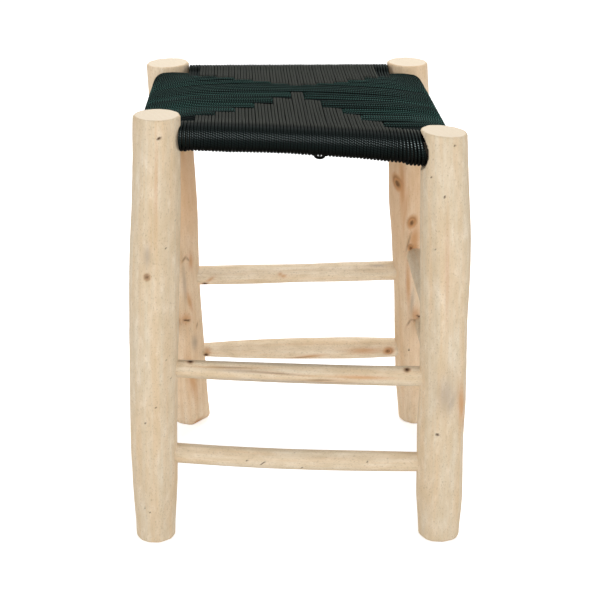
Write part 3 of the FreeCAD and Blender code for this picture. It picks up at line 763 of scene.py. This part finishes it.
def braided_cord(cord, green):
    """Braided polyester cord, wound tight.

    It gives the eye rows of small bright yarn crossings with dark pinholes between them, painted shade in
    the grooves where turns touch, and a painted highlight where it bends over a rail.
    """
    material = bpy.data.materials.new("braided_green_polyester" if green else "braided_dark_polyester")
    tree = empty_tree(material)
    read = {}
    for key, output in (("along", "Fac"), ("turn", "Fac"), ("ring", "Vector"), ("zone", "Vector"),
                        ("way_out", "Vector")):
        read[key] = add_node(tree, "ShaderNodeAttribute", {"attribute_name": key}).outputs[output]
    ring = add_node(tree, "ShaderNodeSeparateXYZ", None, {0: read["ring"]}).outputs
    # The zones carry painted light: a sheen on the flat, shade below a rail, and a highlight at the bend.
    flat, below, painted_highlight = add_node(tree, "ShaderNodeSeparateXYZ", None, {0: read["zone"]}).outputs
    # Yarn crossings: four columns round the cord, 2.4 mm apart along it, or 2.7 mm on the green
    # one, and out of step from turn to turn. On the dark cord neighbouring columns are half a step
    # apart too. The real 2 mm is too fine to show.
    spacing, shift, slants, kind = ((0.0027, 0.3, (2.0, -2.0), "SINE") if green
                                    else (0.0024, 1.1, (3.0, -1.0), "COSINE"))
    sign = 1.0 if green else -1.0
    angle = add_node(tree, "ShaderNodeMath", {"operation": "ARCTAN2"}, {0: ring[1], 1: ring[0]})
    start = add_node(tree, "ShaderNodeMath", {"operation": "MULTIPLY"}, {0: read["turn"], 1: shift})
    run = add_node(tree, "ShaderNodeMath", {"operation": "MULTIPLY_ADD"},
                   {0: read["along"], 1: math.pi / spacing, 2: start.outputs[0]})
    waves = []
    for slant in slants:
        phase = add_node(tree, "ShaderNodeMath", {"operation": "MULTIPLY_ADD"},
                         {0: angle.outputs[0], 1: slant, 2: run.outputs[0]})
        wave = add_node(tree, "ShaderNodeMath", {"operation": kind}, {0: phase.outputs[0]})
        waves.append(wave.outputs[0])
    product = add_node(tree, "ShaderNodeMath", {"operation": "MULTIPLY"}, {0: waves[0], 1: waves[1]})
    knuckle = add_node(tree, "ShaderNodeMapRange", None,
                       {"Value": product.outputs[0], "From Min": -sign, "From Max": sign}).outputs[0]
    place = add_node(tree, "ShaderNodeTexCoord").outputs["Object"]
    # The dye drifts over some 17 mm, and each turn took it a little differently.
    drift = add_node(tree, "ShaderNodeTexNoise", None,
                     {"Vector": place, "Scale": 60.0, "Detail": 3.0}).outputs["Fac"]
    dye = add_node(tree, "ShaderNodeTexWhiteNoise", {"noise_dimensions": "1D"},
                   {"W": read["turn"]}).outputs["Value"]
    normal = add_node(tree, "ShaderNodeNewGeometry").outputs["Normal"]
    facing = add_node(tree, "ShaderNodeVectorMath", {"operation": "DOT_PRODUCT"},
                      {0: normal, 1: read["way_out"]}).outputs["Value"]
    # On both cords the flanks that turn away from the way out are painted near black, as shade in the
    # grooves between turns.
    if green:
        base = cord.green
        yarn = [(drift, 0.3, 0.7, 0.8, srgb("081010")), (dye, 0.45, 1.0, 0.75, srgb("050a0a")),
                (drift, 0.60, 0.72, 0.25, srgb("332e35"))]
        # Crossings deep in a gap are painted dark, as shade.
        bright = paint(tree, srgb("4d7a71"), [(flat, 0.0, 1.0, 1.0, srgb("0b1413"))])
        painted_groove_shade = (facing, 0.86, 0.44, 0.95, srgb("020303"))
    else:
        base = cord.roll
        # On the flat of the seat the yarn is painted lighter, as sheen, and under the rails darker, as
        # shade.
        yarn = [(flat, 0.0, 1.0, 1.0, cord.dark), (below, 0.0, 1.0, 1.0, cord.under),
                (dye, 0.5, 1.0, 0.35, srgb("16181a"))]
        # Its crossings get the same painted sheen and shade, and a bright painted highlight where the cord
        # bends over a rail.
        bright = paint(tree, srgb("34403f"), [(flat, 0.0, 1.0, 1.0, srgb("6c6f67")),
                                              (painted_highlight, 0.0, 1.0, 1.0, srgb("c4d2d3")),
                                              (below, 0.0, 1.0, 1.0, srgb("1d1b15"))])
        painted_groove_shade = (facing, 0.96, 0.62, 0.95, srgb("050707"))
    # The yarn itself, then ridges painted brighter and pinholes near black, the braid's own pattern with
    # painted highlight and shade in it, then painted shade in the grooves.
    colour = paint(tree, base, [*yarn, (knuckle, 0.58, 0.92, 0.80, bright),
                                (knuckle, 0.42, 0.12, 0.9, srgb("030404")), painted_groove_shade])
    surface(tree, {"Base Color": colour, "Roughness": 0.6, "IOR": 1.5, "Specular IOR Level": 0.02},
            knuckle, 0.6, 0.0004)
    return material


def strand_numbers(groups):
    """The group of every strand, and its place from 0 to 1 within that group."""
    numbers, places = [], []
    for group, count in enumerate(groups):
        for k in range(count):
            numbers.append(group)
            places.append((k + 0.5) / count)
    return numbers, places


def corner_mix(corners, across, along):
    """The point between four corners at shares across and along the seat."""
    front = np.array(corners["front_left"]) + np.multiply.outer(
        across, np.array(corners["front_right"]) - np.array(corners["front_left"]))
    back = np.array(corners["back_left"]) + np.multiply.outer(
        across, np.array(corners["back_right"]) - np.array(corners["back_left"]))
    return front + (back - front) * np.asarray(along)[..., None]


def rail_shares(index):
    """A dark strand's places along the front and the back rail, as shares of each rail."""
    shares = []
    for rail, (first, last) in WARP_SPANS.items():
        left = RAIL_CORNERS[rail + "_left"][0]
        right = RAIL_CORNERS[rail + "_right"][0]
        x = first + (last - first) * index / (WARP_COUNT - 1)
        shares.append((x - left) / (right - left))
    return shares


def group_edge_share(edge, along):
    """The share across of the edge before a group of dark strands, at a share along."""
    front, back = rail_shares(sum(WARP_GROUPS[:edge]) - 0.5)
    return front + (back - front) * along


def step_depth(level, across, from_back):
    """How far from its rail a step lies, at a share across the seat."""
    if level == 0:
        return FIRST_DIVE
    left = (BACK_STEPS_LEFT if from_back else FRONT_STEPS_LEFT)[level - 1]
    right = (BACK_STEPS_RIGHT if from_back else FRONT_STEPS_RIGHT)[level - 1]
    along = 1 - left / SEAT_DEPTH if from_back else left / SEAT_DEPTH
    share_a = group_edge_share(level, along)
    share_b = group_edge_share(LAST_GROUP + 1 - level, along)
    return left + (right - left) * (across - share_a) / (share_b - share_a)


def s_bend(t):
    """A smooth step from 0 to 1."""
    t = np.clip(t, 0, 1)
    return t * t * (3 - 2 * t)


def eased_ends(depth, length, reach):
    """1 along a length, and eased to 0 at both of its ends."""
    return s_bend(depth / reach) * s_bend((length - depth) / reach)


def crossed(distance):
    """How far a strand has changed layers, at a distance past the middle of its crossing."""
    return s_bend(distance / CROSSING + 0.5)


def seat_dip(across, depth):
    """How far the seat sags towards its lower side rails, in millimetres, at shares across it."""
    along = np.clip(depth / SEAT_DEPTH, 0, 1)
    total = 0.0
    for side, from_side in (("left", across), ("right", 1 - across)):
        front = RAIL_CORNERS["front_" + side][2] - SIDE_CORNERS["front_" + side][2]
        back = RAIL_CORNERS["back_" + side][2] - SIDE_CORNERS["back_" + side][2]
        drop = front + (back - front) * along
        away = np.maximum(from_side, 0) * SEAT_WIDTH
        ends = eased_ends(depth, SEAT_DEPTH, DIP_REACH)
        share = np.clip(away / 27.0, 0, 1)
        total = total + drop * np.exp(-away / DIP_REACH) * (1 - share + share * ends)
    return total


def loop_points(centre, out, radius, top_first, flatter=0.0, count=15):
    """Points of the half loop round a rail on its outer side, their angles and ways out.

    Below the rail's middle the loop is flatter by so many millimetres.
    """
    turn = np.linspace(math.pi / 2, -math.pi / 2, count) if top_first else np.linspace(
        -math.pi / 2, math.pi / 2, count)
    facing = np.cos(turn)[:, None] * out + np.sin(turn)[:, None] * np.array([0, 0, 1.0])
    points = centre + radius * facing
    points[:, 2] += flatter * np.maximum(-np.sin(turn), 0)
    return points, turn, facing


def roll_zones(turn):
    """The zones of points round a rail, at angles above its middle.

    A zone is how flat the strand lies there, which brings a painted sheen, how far below the rail it is,
    which brings painted shade, and how strong a painted highlight is at the bend over the rail. On a green
    strand the first is how deep in a gap it lies, which brings painted shade.
    """
    return np.stack([s_bend((turn - 1.30) / 1.2), s_bend(0.15 - turn / 0.7),
                     np.exp(-((turn - 0.56) / 0.21) ** 2)], -1)


def one_turn(points, flat, first_loop, last_loop):
    """One strand's points, their zones and their ways out of the fabric."""
    keep = slice(1, len(points) - 1)
    top = np.stack([flat, np.zeros(len(flat)), np.zeros(len(flat))], -1)[keep]
    return (np.concatenate([first_loop[0], points[keep], last_loop[0]]),
            np.concatenate([roll_zones(first_loop[1]), top, roll_zones(last_loop[1])]),
            np.concatenate([first_loop[2], np.tile([[0, 0, 1.0]], (len(top), 1)), last_loop[2]]))


def warp_turn(index, cord_radius, rng):
    """One dark strand: up round the front rail, over the seat, and down round the back rail."""
    numbers, _ = strand_numbers(WARP_GROUPS)
    group = numbers[index]
    level = min(group, LAST_GROUP - group)
    # On the rails the strands lie evenly, and on the seat each group draws together.
    middle = sum(WARP_GROUPS[:group]) + (WARP_GROUPS[group] - 1) / 2
    front_even, back_even = rail_shares(index)
    front_bunch, back_bunch = rail_shares(middle + (index - middle) * 0.99)
    radius = RAIL_RADIUS + cord_radius
    lie = cord_radius * 0.97
    along = np.concatenate([np.arange(0, 14, 2.0), np.arange(14, SEAT_DEPTH - 14, 3.0),
                            np.arange(SEAT_DEPTH - 14, SEAT_DEPTH + 0.5, 2.0)]) / SEAT_DEPTH
    depth = along * SEAT_DEPTH
    bunch = eased_ends(depth - 2, SEAT_DEPTH - 4, 16)
    front = front_even + (front_bunch - front_even) * bunch
    back = back_even + (back_bunch - back_even) * bunch
    across = front + (back - front) * along
    points = corner_mix(RAIL_CORNERS, across, along)
    dive = step_depth(level, across[0], False)
    rise = step_depth(level, across[-1], True)
    side = eased_ends(depth, SEAT_DEPTH, 12)
    under = crossed(depth - dive) * crossed(SEAT_DEPTH - depth - rise)
    points[:, 0] += wander(rng, depth, 45.0) * 0.22 * side
    points[:, 2] += radius + lie * side * (1 - 2 * under) - seat_dip(across, depth)
    start = corner_mix(RAIL_CORNERS, front_even, 0.0)
    end = corner_mix(RAIL_CORNERS, back_even, 1.0)
    bow, below = (float(v) for v in front_rail_shape(start[0]))
    start[2] += bow
    points[:, 2] += bow * np.exp(-(depth / 40.0) ** 2)
    last = WARP_COUNT - 1
    snug = radius + rng.uniform(-0.12, 0.2)
    up, up_turn, up_out = loop_points(start, np.array([0, -1.0, 0]), snug, False, below - bow)
    down, down_turn, down_out = loop_points(end, np.array([0, 1.0, 0]), snug, True)
    # The first three turns press towards the left post, the last nine spread to the right below,
    # and the outermost ones hang lower.
    up[:, 0] -= (1.7, 1.1, 0.5, 0.0)[min(index, 3)] * np.cos(up_turn)
    up[:, 0] += 3.4 * max(0.0, 1 - (last - index) / 9.0) * s_bend((math.pi / 2 - up_turn) / 1.9)
    bulge = 2.6 * s_bend((start[0] - 109.0) / 9.0) + 1.1 * (index < 2)
    up[:, 2] -= bulge * s_bend((0.3 - up_turn) / 1.3)
    # How flat each point lies, which brings the painted sheen of the seat's top.
    flat = s_bend((depth - 1.0) / 10) * s_bend((SEAT_DEPTH - depth + 1.0) / 7)
    # The outermost groups lose that sheen towards the back, painted shade where they lie in shadow.
    if group in (0, LAST_GROUP):
        flat = flat * (1 - 0.85 * s_bend((depth - 150.0) / 40.0))
    return one_turn(points, flat, (up, up_turn, up_out), (down, down_turn, down_out))


def end_wraps(cord_radius):
    """The last turns of the dark cord, round the front rail alone, in the hollow of the post."""
    middle_y, middle_z = -154.1, RAIL_CORNERS["front_right"][2] + 0.6
    wrap = np.linspace(0.3, 2.6, 94)
    turn = wrap * 2 * math.pi
    # Below, each wrap lies further to the right than the one before, and hangs down less.
    low = (1 - np.sin(turn)) / 2
    x = 127.2 + 1.6 * wrap + low * (5.4 + 1.2 * wrap)
    radius = RAIL_RADIUS + cord_radius - 1.5 + (3.6 - 1.1 * wrap) * low
    points = np.stack([x, middle_y - radius * np.cos(turn), middle_z + radius * np.sin(turn)], -1)
    facing = np.stack([np.zeros(len(turn)), -np.cos(turn), np.sin(turn)], -1)
    # No wrap lies flat, and only the front of each gets the painted highlight.
    zones = roll_zones(np.arcsin(np.sin(turn)))
    zones[:, 0] = 0.0
    zones[:, 2] *= np.cos(turn) > 0
    return points, zones, facing


def weft_turn(index, cord_radius, rng):
    """One green strand: up round the left rail, over the seat, and down round the right rail."""
    numbers, places = strand_numbers(WEFT_BANDS)
    band, place = numbers[index], places[index]
    level = min(band, LAST_GROUP - band)
    radius = RAIL_RADIUS + cord_radius
    lie = cord_radius * 0.97
    depth_rail = SIDE_SPAN[0] + (SIDE_SPAN[1] - SIDE_SPAN[0]) * index / (WEFT_COUNT - 1)
    left = corner_mix(SIDE_CORNERS, 0.0, depth_rail / SEAT_DEPTH)
    right = corner_mix(SIDE_CORNERS, 1.0, depth_rail / SEAT_DEPTH)

    def band_depth(front_steps, back_steps, first):
        limits = [first, *front_steps, *(SEAT_DEPTH - d for d in (*reversed(back_steps), FABRIC_EDGE))]
        low, high = limits[band] + 2.6, limits[band + 1] + 0.1
        return low + (high - low) * place

    depth_left = band_depth(FRONT_STEPS_LEFT, BACK_STEPS_LEFT, FABRIC_EDGE)
    if band == MIDDLE_GROUP:
        marks = [0.0, 0.42, 0.58, 1.0]
        depths = [depth_rail, depth_left, depth_left, depth_rail]
        dives = None
    else:
        depth_right = band_depth(FRONT_STEPS_RIGHT, BACK_STEPS_RIGHT, FABRIC_EDGE_RIGHT)
        dives = (group_edge_share(level + 1, depth_left / SEAT_DEPTH),
                 group_edge_share(LAST_GROUP - level, depth_right / SEAT_DEPTH))
        marks = [0.0, *dives, 1.0]
        depths = [depth_rail, depth_left, depth_right, depth_rail]
    width = SEAT_WIDTH
    across = np.concatenate([np.arange(0, 12, 2.0), np.arange(12, width - 12, 3.0),
                             np.arange(width - 12, width + 0.5, 2.0)]) / width
    depth = smooth_line(marks, depths, across)
    points = corner_mix(RAIL_CORNERS, across, depth / SEAT_DEPTH)
    # A strand whose first crossing is close to its rail stays low until there.
    reach = [90.0, 90.0]
    if band > MIDDLE_GROUP:
        reach = [dives[0] * width, (1 - dives[1]) * width]
    low_left, low_right = (min(1.0, max(0.0, (away - 24.0) / 60.0)) for away in reach)
    ramp = eased_ends(across * width, width, SIDE_EASE)
    top = np.where(across < 0.5, low_left, low_right)
    low = left + np.multiply.outer(across, right - left)
    near = 1 - s_bend(np.minimum(across, 1 - across) * width / SIDE_EASE)
    points[:, 0] += near * (low[:, 0] - points[:, 0])
    under = 0.0
    if dives:
        under = crossed((across - dives[0]) * width) * crossed((dives[1] - across) * width)
    points[:, 2] += radius + lie * ramp * (top * (1 - under) - under) - seat_dip(across, depth)
    # Every other strand lies a little lower, and so does the whole back band towards its rail.
    points[:, 2] -= 0.5 * (index % 2) * ramp * (1 - under)
    if band == LAST_GROUP:
        points[:, 2] -= 3.6 * ramp * s_bend((depth - 240.0) / 40.0)
    points[:, 1] += wander(rng, across * width, 30.0) * 0.35 * ramp
    snug = radius + rng.uniform(-0.12, 0.2)
    up, up_turn, up_out = loop_points(left, np.array([-1.0, 0, 0]), snug, False)
    down, down_turn, down_out = loop_points(right, np.array([1.0, 0, 0]), snug, True)
    # Behind each front step the first strands drop into the gap, where they are painted black as shade, and
    # the
    #     # front band is painted in shade beside its crossings.
    gap = np.zeros(len(across))
    if band < MIDDLE_GROUP:
        near_dive = np.minimum(np.abs(across - dives[0]), np.abs(across - dives[1])) * width
        gap = np.clip(1.0 - place / 0.32, 0, 1) * (1 - s_bend((near_dive - 25.0) / 75.0))
        points[:, 2] -= 0.9 * gap * (1 - under)
        if band == 0:
            gap = np.maximum(gap, 0.95 * (1 - s_bend((near_dive - 12.0) / 22.0)))
    return one_turn(points, gap, (up, up_turn, up_out), (down, down_turn, down_out))


def run_below(start, end, count):
    """A straight run of cord under the seat, with its zones, its ways out and its shares."""
    share = np.linspace(0, 1, count)[1:-1, None]
    # Under the seat the cord is painted dark, as shade, with a little of the flat's painted sheen.
    zone = np.tile([[0.3, 1.0, 0.0]], (count - 2, 1))
    return start + (end - start) * share, zone, np.tile([[0, 0, -1.0]], (count - 2, 1)), share


def winding_line(turn, first, last, cord_radius, seed, pressed):
    """The line of one winding: its turns from first to last, joined by runs below.

    The runs below are straight, but the ones nearest the front are pressed up, and as far back,
    by so many millimetres where they lie under the front roll. Returns its points, their zones,
    their ways out and the number of the turn that each is in.
    """
    rng = np.random.default_rng(seed)
    lines, zones, ways, turns = [], [], [], []
    for index in range(first, last):
        points, zone, way = turn(index, cord_radius, rng)
        if lines:
            below, below_zone, below_way, share = run_below(lines[-1][-1], points[0], 22)
            press = pressed * max(0.0, 1 - index / 18.0) * s_bend(6 * share * (1 - share))
            points = np.concatenate([below + press * np.array([0, 1.0, 1.0]), points])
            zone = np.concatenate([below_zone, zone])
            way = np.concatenate([below_way, way])
        lines.append(points)
        zones.append(zone)
        ways.append(way)
        turns.append(np.full(len(points), float(index)))
    return [np.concatenate(parts) for parts in (lines, zones, ways, turns)]


def three_windings(turn, count, cord_radius, seed, pressed=0.0):
    """The lines of a cord's three windings, each tied off before the next."""
    return [winding_line(turn, count * n // 3, count * (n + 1) // 3, cord_radius, seed + n, pressed)
            for n in range(3)]


def wound_cord_tree(cord):
    """Geometry nodes that make a round cord along a line of edges."""
    tree = bpy.data.node_groups.new("wound cord", "GeometryNodeTree")
    for name, kind, default in (("Geometry", "Geometry", None), ("Width", "Float", cord.width),
                                ("Sides", "Int", cord.sides), ("Cord", "Material", None)):
        socket = tree.interface.new_socket(name, in_out="INPUT", socket_type="NodeSocket" + kind)
        if default:
            socket.default_value = default
    tree.interface.new_socket("Geometry", in_out="OUTPUT", socket_type="NodeSocketGeometry")
    given = add_node(tree, "NodeGroupInput").outputs
    line = add_node(tree, "GeometryNodeMeshToCurve", None, {"Mesh": given["Geometry"]})
    length = add_node(tree, "GeometryNodeSplineParameter")
    marked = add_node(tree, "GeometryNodeStoreNamedAttribute", {"data_type": "FLOAT", "domain": "POINT"},
                      {"Geometry": line.outputs[0], "Name": "along", "Value": length.outputs["Length"]})
    half = add_node(tree, "ShaderNodeMath", {"operation": "MULTIPLY"}, {0: given["Width"], 1: 0.5})
    circle = add_node(tree, "GeometryNodeCurvePrimitiveCircle", {"mode": "RADIUS"},
                      {"Resolution": given["Sides"], "Radius": half.outputs[0]})
    place = add_node(tree, "GeometryNodeInputPosition")
    unit = add_node(tree, "ShaderNodeVectorMath", {"operation": "NORMALIZE"}, {0: place.outputs[0]})
    ringed = add_node(tree, "GeometryNodeStoreNamedAttribute",
                      {"data_type": "FLOAT_VECTOR", "domain": "POINT"},
                      {"Geometry": circle.outputs[0], "Name": "ring", "Value": unit.outputs[0]})
    tube = add_node(tree, "GeometryNodeCurveToMesh", None,
                    {"Curve": marked.outputs[0], "Profile Curve": ringed.outputs[0], "Fill Caps": True})
    smooth = add_node(tree, "GeometryNodeSetShadeSmooth", None, {"Geometry": tube.outputs[0]})
    real = add_node(tree, "GeometryNodeRealizeInstances", None, {"Geometry": smooth.outputs[0]})
    dressed = add_node(tree, "GeometryNodeSetMaterial", None,
                       {"Geometry": real.outputs[0], "Material": given["Cord"]})
    add_node(tree, "NodeGroupOutput", None, {0: dressed.outputs[0]})
    return tree


def cord_from_line(name, line, cord, material, pressed=1.0):
    """A cord along a line of points in millimetres, made with the wound cord nodes.

    The line is its points, their zones, their ways out and the number of each one's turn. A cord
    whose turns are pressed together is so much wider.
    """
    points, zones, ways, turns = line
    tree = bpy.data.node_groups.get("wound cord") or wound_cord_tree(cord)
    mesh = bpy.data.meshes.new(name + "_line")
    edges = [(i, i + 1) for i in range(len(points) - 1)]
    mesh.from_pydata(((points + PLAN_SHIFT) * MM).tolist(), edges, [])
    for label, kind, field, values in (("zone", "FLOAT_VECTOR", "vector", zones),
                                       ("way_out", "FLOAT_VECTOR", "vector", ways),
                                       ("turn", "FLOAT", "value", turns)):
        mesh.attributes.new(label, kind, "POINT").data.foreach_set(field, values.astype(np.float32).ravel())
    piece = add_object(name, mesh)
    modifier = piece.modifiers.new("wound cord", "NODES")
    modifier.node_group = tree
    given = {"Width": cord.width * pressed, "Sides": cord.sides, "Cord": material}
    for item in tree.interface.items_tree:
        if item.name in given:
            modifier[item.identifier] = given[item.name]
    bpy.context.view_layer.update()
    evaluated = piece.evaluated_get(bpy.context.evaluated_depsgraph_get())
    piece.data = bpy.data.meshes.new_from_object(evaluated)
    piece.modifiers.remove(modifier)
    piece.data.name = name
    return piece


def keep_material(name, maker, *values):
    """The material of that name, made the first time it is asked for."""
    return bpy.data.materials.get(name) or maker(*values)


def place_piece(piece, node):
    """Let a finished piece stand for its node and ride on the stool."""
    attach(piece, "root")
    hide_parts(node)


def place_wood(names, maker, wood, material):
    """Make each of these pieces of wood, and let it stand for its node."""
    for name in names:
        piece = maker(name, wood)
        piece.data.materials.append(material)
        place_piece(piece, name)


class STOOL_OT_posts(bpy.types.Operator):
    """Make the four hewn posts"""
    bl_idname = "stool.posts"
    bl_label = "Posts"

    def execute(self, context):
        wood = context.scene.stool_wood
        material = keep_material("hewn_pale_softwood", hewn_wood, wood)
        place_wood(POSTS, make_post, wood, material)
        return {"FINISHED"}


class STOOL_OT_rungs(bpy.types.Operator):
    """Make the eight hewn rungs"""
    bl_idname = "stool.rungs"
    bl_label = "Rungs"

    def execute(self, context):
        wood = context.scene.stool_wood
        material = keep_material("hewn_pale_softwood", hewn_wood, wood)
        place_wood(RUNGS, make_rung, wood, material)
        return {"FINISHED"}


class STOOL_OT_rails(bpy.types.Operator):
    """Make the four hewn seat rails under the cords"""
    bl_idname = "stool.rails"
    bl_label = "Seat rails"

    def execute(self, context):
        material = keep_material("dark_rail_softwood", rail_wood)
        place_wood(RAILS, make_rail, context.scene.stool_wood, material)
        return {"FINISHED"}


class STOOL_OT_dark_cord(bpy.types.Operator):
    """Wind the dark cord round the front and back rails"""
    bl_idname = "stool.dark_cord"
    bl_label = "Dark cord"

    def execute(self, context):
        cord = context.scene.stool_cord
        material = keep_material("braided_dark_polyester", braided_cord, cord, False)
        radius = cord.width / 2 / MM
        lines = three_windings(warp_turn, WARP_COUNT, radius, 100)
        # The last winding goes on round the front rail alone.
        wraps, wrap_zones, wrap_ways = end_wraps(radius)
        below, below_zones, below_ways, _ = run_below(lines[-1][0][-1], wraps[0], 12)
        turns = np.linspace(WARP_COUNT, WARP_COUNT + 3, len(below) + len(wraps))
        more = ([below, wraps], [below_zones, wrap_zones], [below_ways, wrap_ways], [turns])
        lines[-1] = [np.concatenate([part, *added]) for part, added in zip(lines[-1], more)]
        for place, line in zip(("left", "middle", "right"), lines):
            piece = cord_from_line("warp_" + place, line, cord, material, 1.06)
            place_piece(piece, "warp_cord_" + place)
        return {"FINISHED"}


class STOOL_OT_green_cord(bpy.types.Operator):
    """Wind and interlace the green cord round the side rails"""
    bl_idname = "stool.green_cord"
    bl_label = "Green cord"

    def execute(self, context):
        cord = context.scene.stool_cord
        material = keep_material("braided_green_polyester", braided_cord, cord, True)
        lines = three_windings(weft_turn, WEFT_COUNT, cord.width / 2 / MM, 200, 4.6)
        for place, line in zip(("front", "middle", "back"), lines):
            piece = cord_from_line("weft_" + place, line, cord, material)
            place_piece(piece, "weft_cord_" + place)
        return {"FINISHED"}


class STOOL_OT_cord_end(bpy.types.Operator):
    """Hang the small loop of the dark cord's end under the front rail"""
    bl_idname = "stool.cord_end"
    bl_label = "Cord end"

    def execute(self, context):
        cord = context.scene.stool_cord
        material = keep_material("braided_dark_polyester", braided_cord, cord, False)
        low, high = (np.array(corner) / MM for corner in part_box("cord_end_loop"))
        middle = (low + high) / 2 - PLAN_SHIFT
        # The bight is 9.6 mm wide and 2.8 mm deep, and both ends go up between the turns.
        wide, deep, rise = 4.8, 2.8, 9.4
        turn = np.linspace(0, math.pi, 21)
        x = middle[0] - np.cos(turn) * wide
        y = middle[1] + np.sin(turn * 2) * 0.5
        z = low[2] + rise + deep - np.sin(turn) * deep
        top = high[2] + 4.0
        points = np.concatenate([[[x[0] - 0.4, middle[1] + 1.5, top]], np.stack([x, y, z], -1),
                                 [[x[-1] + 0.4, middle[1] + 1.0, top]]])
        count = len(points)
        # The loop hangs under the rail and is painted dark there, as shade.
        line = (points, np.tile([[0.0, 0.9, 0.0]], (count, 1)), np.tile([[0, -1.0, 0]], (count, 1)),
                np.zeros(count))
        piece = cord_from_line("cord_end", line, cord, material)
        place_piece(piece, "cord_end_loop")
        return {"FINISHED"}


class STOOL_OT_stage(bpy.types.Operator):
    """Set the floor, the soft light and the camera"""
    bl_idname = "stool.stage"
    bl_label = "Stage"

    def execute(self, context):
        scene = context.scene
        stage = scene.stool_stage
        scene.view_settings.view_transform = "Standard"
        # The room lights the stool softly, and looks white itself.
        scene.world = bpy.data.worlds.new("soft_room")
        tree = empty_tree(scene.world)
        path = add_node(tree, "ShaderNodeLightPath").outputs
        seen = path["Is Camera Ray"]
        for ray in ("Is Glossy Ray", "Is Transmission Ray"):
            seen = add_node(tree, "ShaderNodeMath", {"operation": "MAXIMUM"},
                            {0: seen, 1: path[ray]}).outputs[0]
        soft = add_node(tree, "ShaderNodeBackground", None, {"Color": WHITE, "Strength": stage.fill})
        white = add_node(tree, "ShaderNodeBackground", None, {"Color": WHITE, "Strength": 1.0})
        mix = add_node(tree, "ShaderNodeMixShader", None,
                       {0: seen, 1: soft.outputs[0], 2: white.outputs[0]})
        add_node(tree, "ShaderNodeOutputWorld", None, {"Surface": mix.outputs[0]})

        # White paper, which glows a little towards the camera and keeps the shadow.
        mesh = bpy.data.meshes.new("floor")
        half = 12.0
        mesh.from_pydata([(-half, -half, 0), (half, -half, 0), (half, half, 0), (-half, half, 0)], [],
                         [(0, 1, 2, 3)])
        floor = add_object("floor", mesh)
        paper = bpy.data.materials.new("white_paper_floor")
        tree = empty_tree(paper)
        matt = add_node(tree, "ShaderNodeBsdfDiffuse", None, {"Color": (0.93, 0.93, 0.93, 1)})
        path = add_node(tree, "ShaderNodeLightPath")
        strength = add_node(tree, "ShaderNodeMath", {"operation": "MULTIPLY"},
                            {0: path.outputs["Is Camera Ray"], 1: 0.55})
        glow = add_node(tree, "ShaderNodeEmission", None, {"Color": WHITE, "Strength": strength.outputs[0]})
        both = add_node(tree, "ShaderNodeAddShader", None, {0: matt.outputs[0], 1: glow.outputs[0]})
        add_node(tree, "ShaderNodeOutputMaterial", None, {"Surface": both.outputs[0]})
        mesh.materials.append(paper)

        # Each lamp: its place, its size and its share of the key light's power.
        for label, place, size, share in (
            ("front_lamp", (0.1, -4.5, 1.7), 2.4, 1.0), ("left_lamp", (-3.1, -2.5, 1.3), 2.0, 0.60),
            ("right_lamp", (3.1, -2.5, 1.3), 2.0, 0.60), ("back_lamp", (0.1, 1.5, 2.3), 1.6, 0.66),
        ):
            lamp = bpy.data.lights.new(label, "AREA")
            lamp.shape = "DISK"
            lamp.size = size
            lamp.energy = stage.key * share
            holder = add_object(label, lamp)
            holder.location = place
            aim = Vector((0, 0, 0.3)) - Vector(place)
            holder.rotation_euler = aim.to_track_quat("-Z", "Y").to_euler()

        camera = bpy.data.cameras.new("photo_camera")
        camera.lens = stage.focal
        camera.sensor_width = 36.0
        camera.clip_end = 50.0
        scene.camera = add_object("photo_camera", camera)
        scene.camera.location = (0.00198, -1.9582, 0.9778)
        scene.camera.rotation_euler = (math.pi / 2 - stage.pitch, 0, 0)
        return {"FINISHED"}


class STOOL_PT_panel(bpy.types.Panel):
    """The stool's pieces and their sizes"""
    bl_idname = "STOOL_PT_panel"
    bl_label = "Stool"
    bl_space_type = "VIEW_3D"
    bl_region_type = "UI"
    bl_category = "Stool"

    def draw(self, context):
        for group in ("stool_wood", "stool_cord", "stool_stage"):
            settings = getattr(context.scene, group)
            box = self.layout.box()
            for name in settings.bl_rna.properties.keys():
                if name not in ("rna_type", "name"):
                    box.prop(settings, name)
        for operator in OPERATORS:
            self.layout.operator(operator.bl_idname)


OPERATORS = (STOOL_OT_posts, STOOL_OT_rungs, STOOL_OT_rails, STOOL_OT_dark_cord, STOOL_OT_green_cord,
             STOOL_OT_cord_end, STOOL_OT_stage)
GROUPS = {"stool_wood": StoolWood, "stool_cord": StoolCord, "stool_stage": StoolStage}


def register():
    """Register the classes and hang the settings on the scene."""
    for item in (*GROUPS.values(), *OPERATORS, STOOL_PT_panel):
        bpy.utils.register_class(item)
    for name, group in GROUPS.items():
        setattr(bpy.types.Scene, name, bpy.props.PointerProperty(type=group))


def unregister():
    """Take the settings and the classes away again."""
    for name in GROUPS:
        delattr(bpy.types.Scene, name)
    for item in reversed((*GROUPS.values(), *OPERATORS, STOOL_PT_panel)):
        bpy.utils.unregister_class(item)


def main():
    """Make the stool and its stage."""
    register()
    bpy.ops.stool.posts()
    bpy.ops.stool.rungs()
    bpy.ops.stool.rails()
    bpy.ops.stool.dark_cord()
    bpy.ops.stool.green_cord()
    bpy.ops.stool.cord_end()
    bpy.ops.stool.stage()


if __name__ == "__main__":
    main()
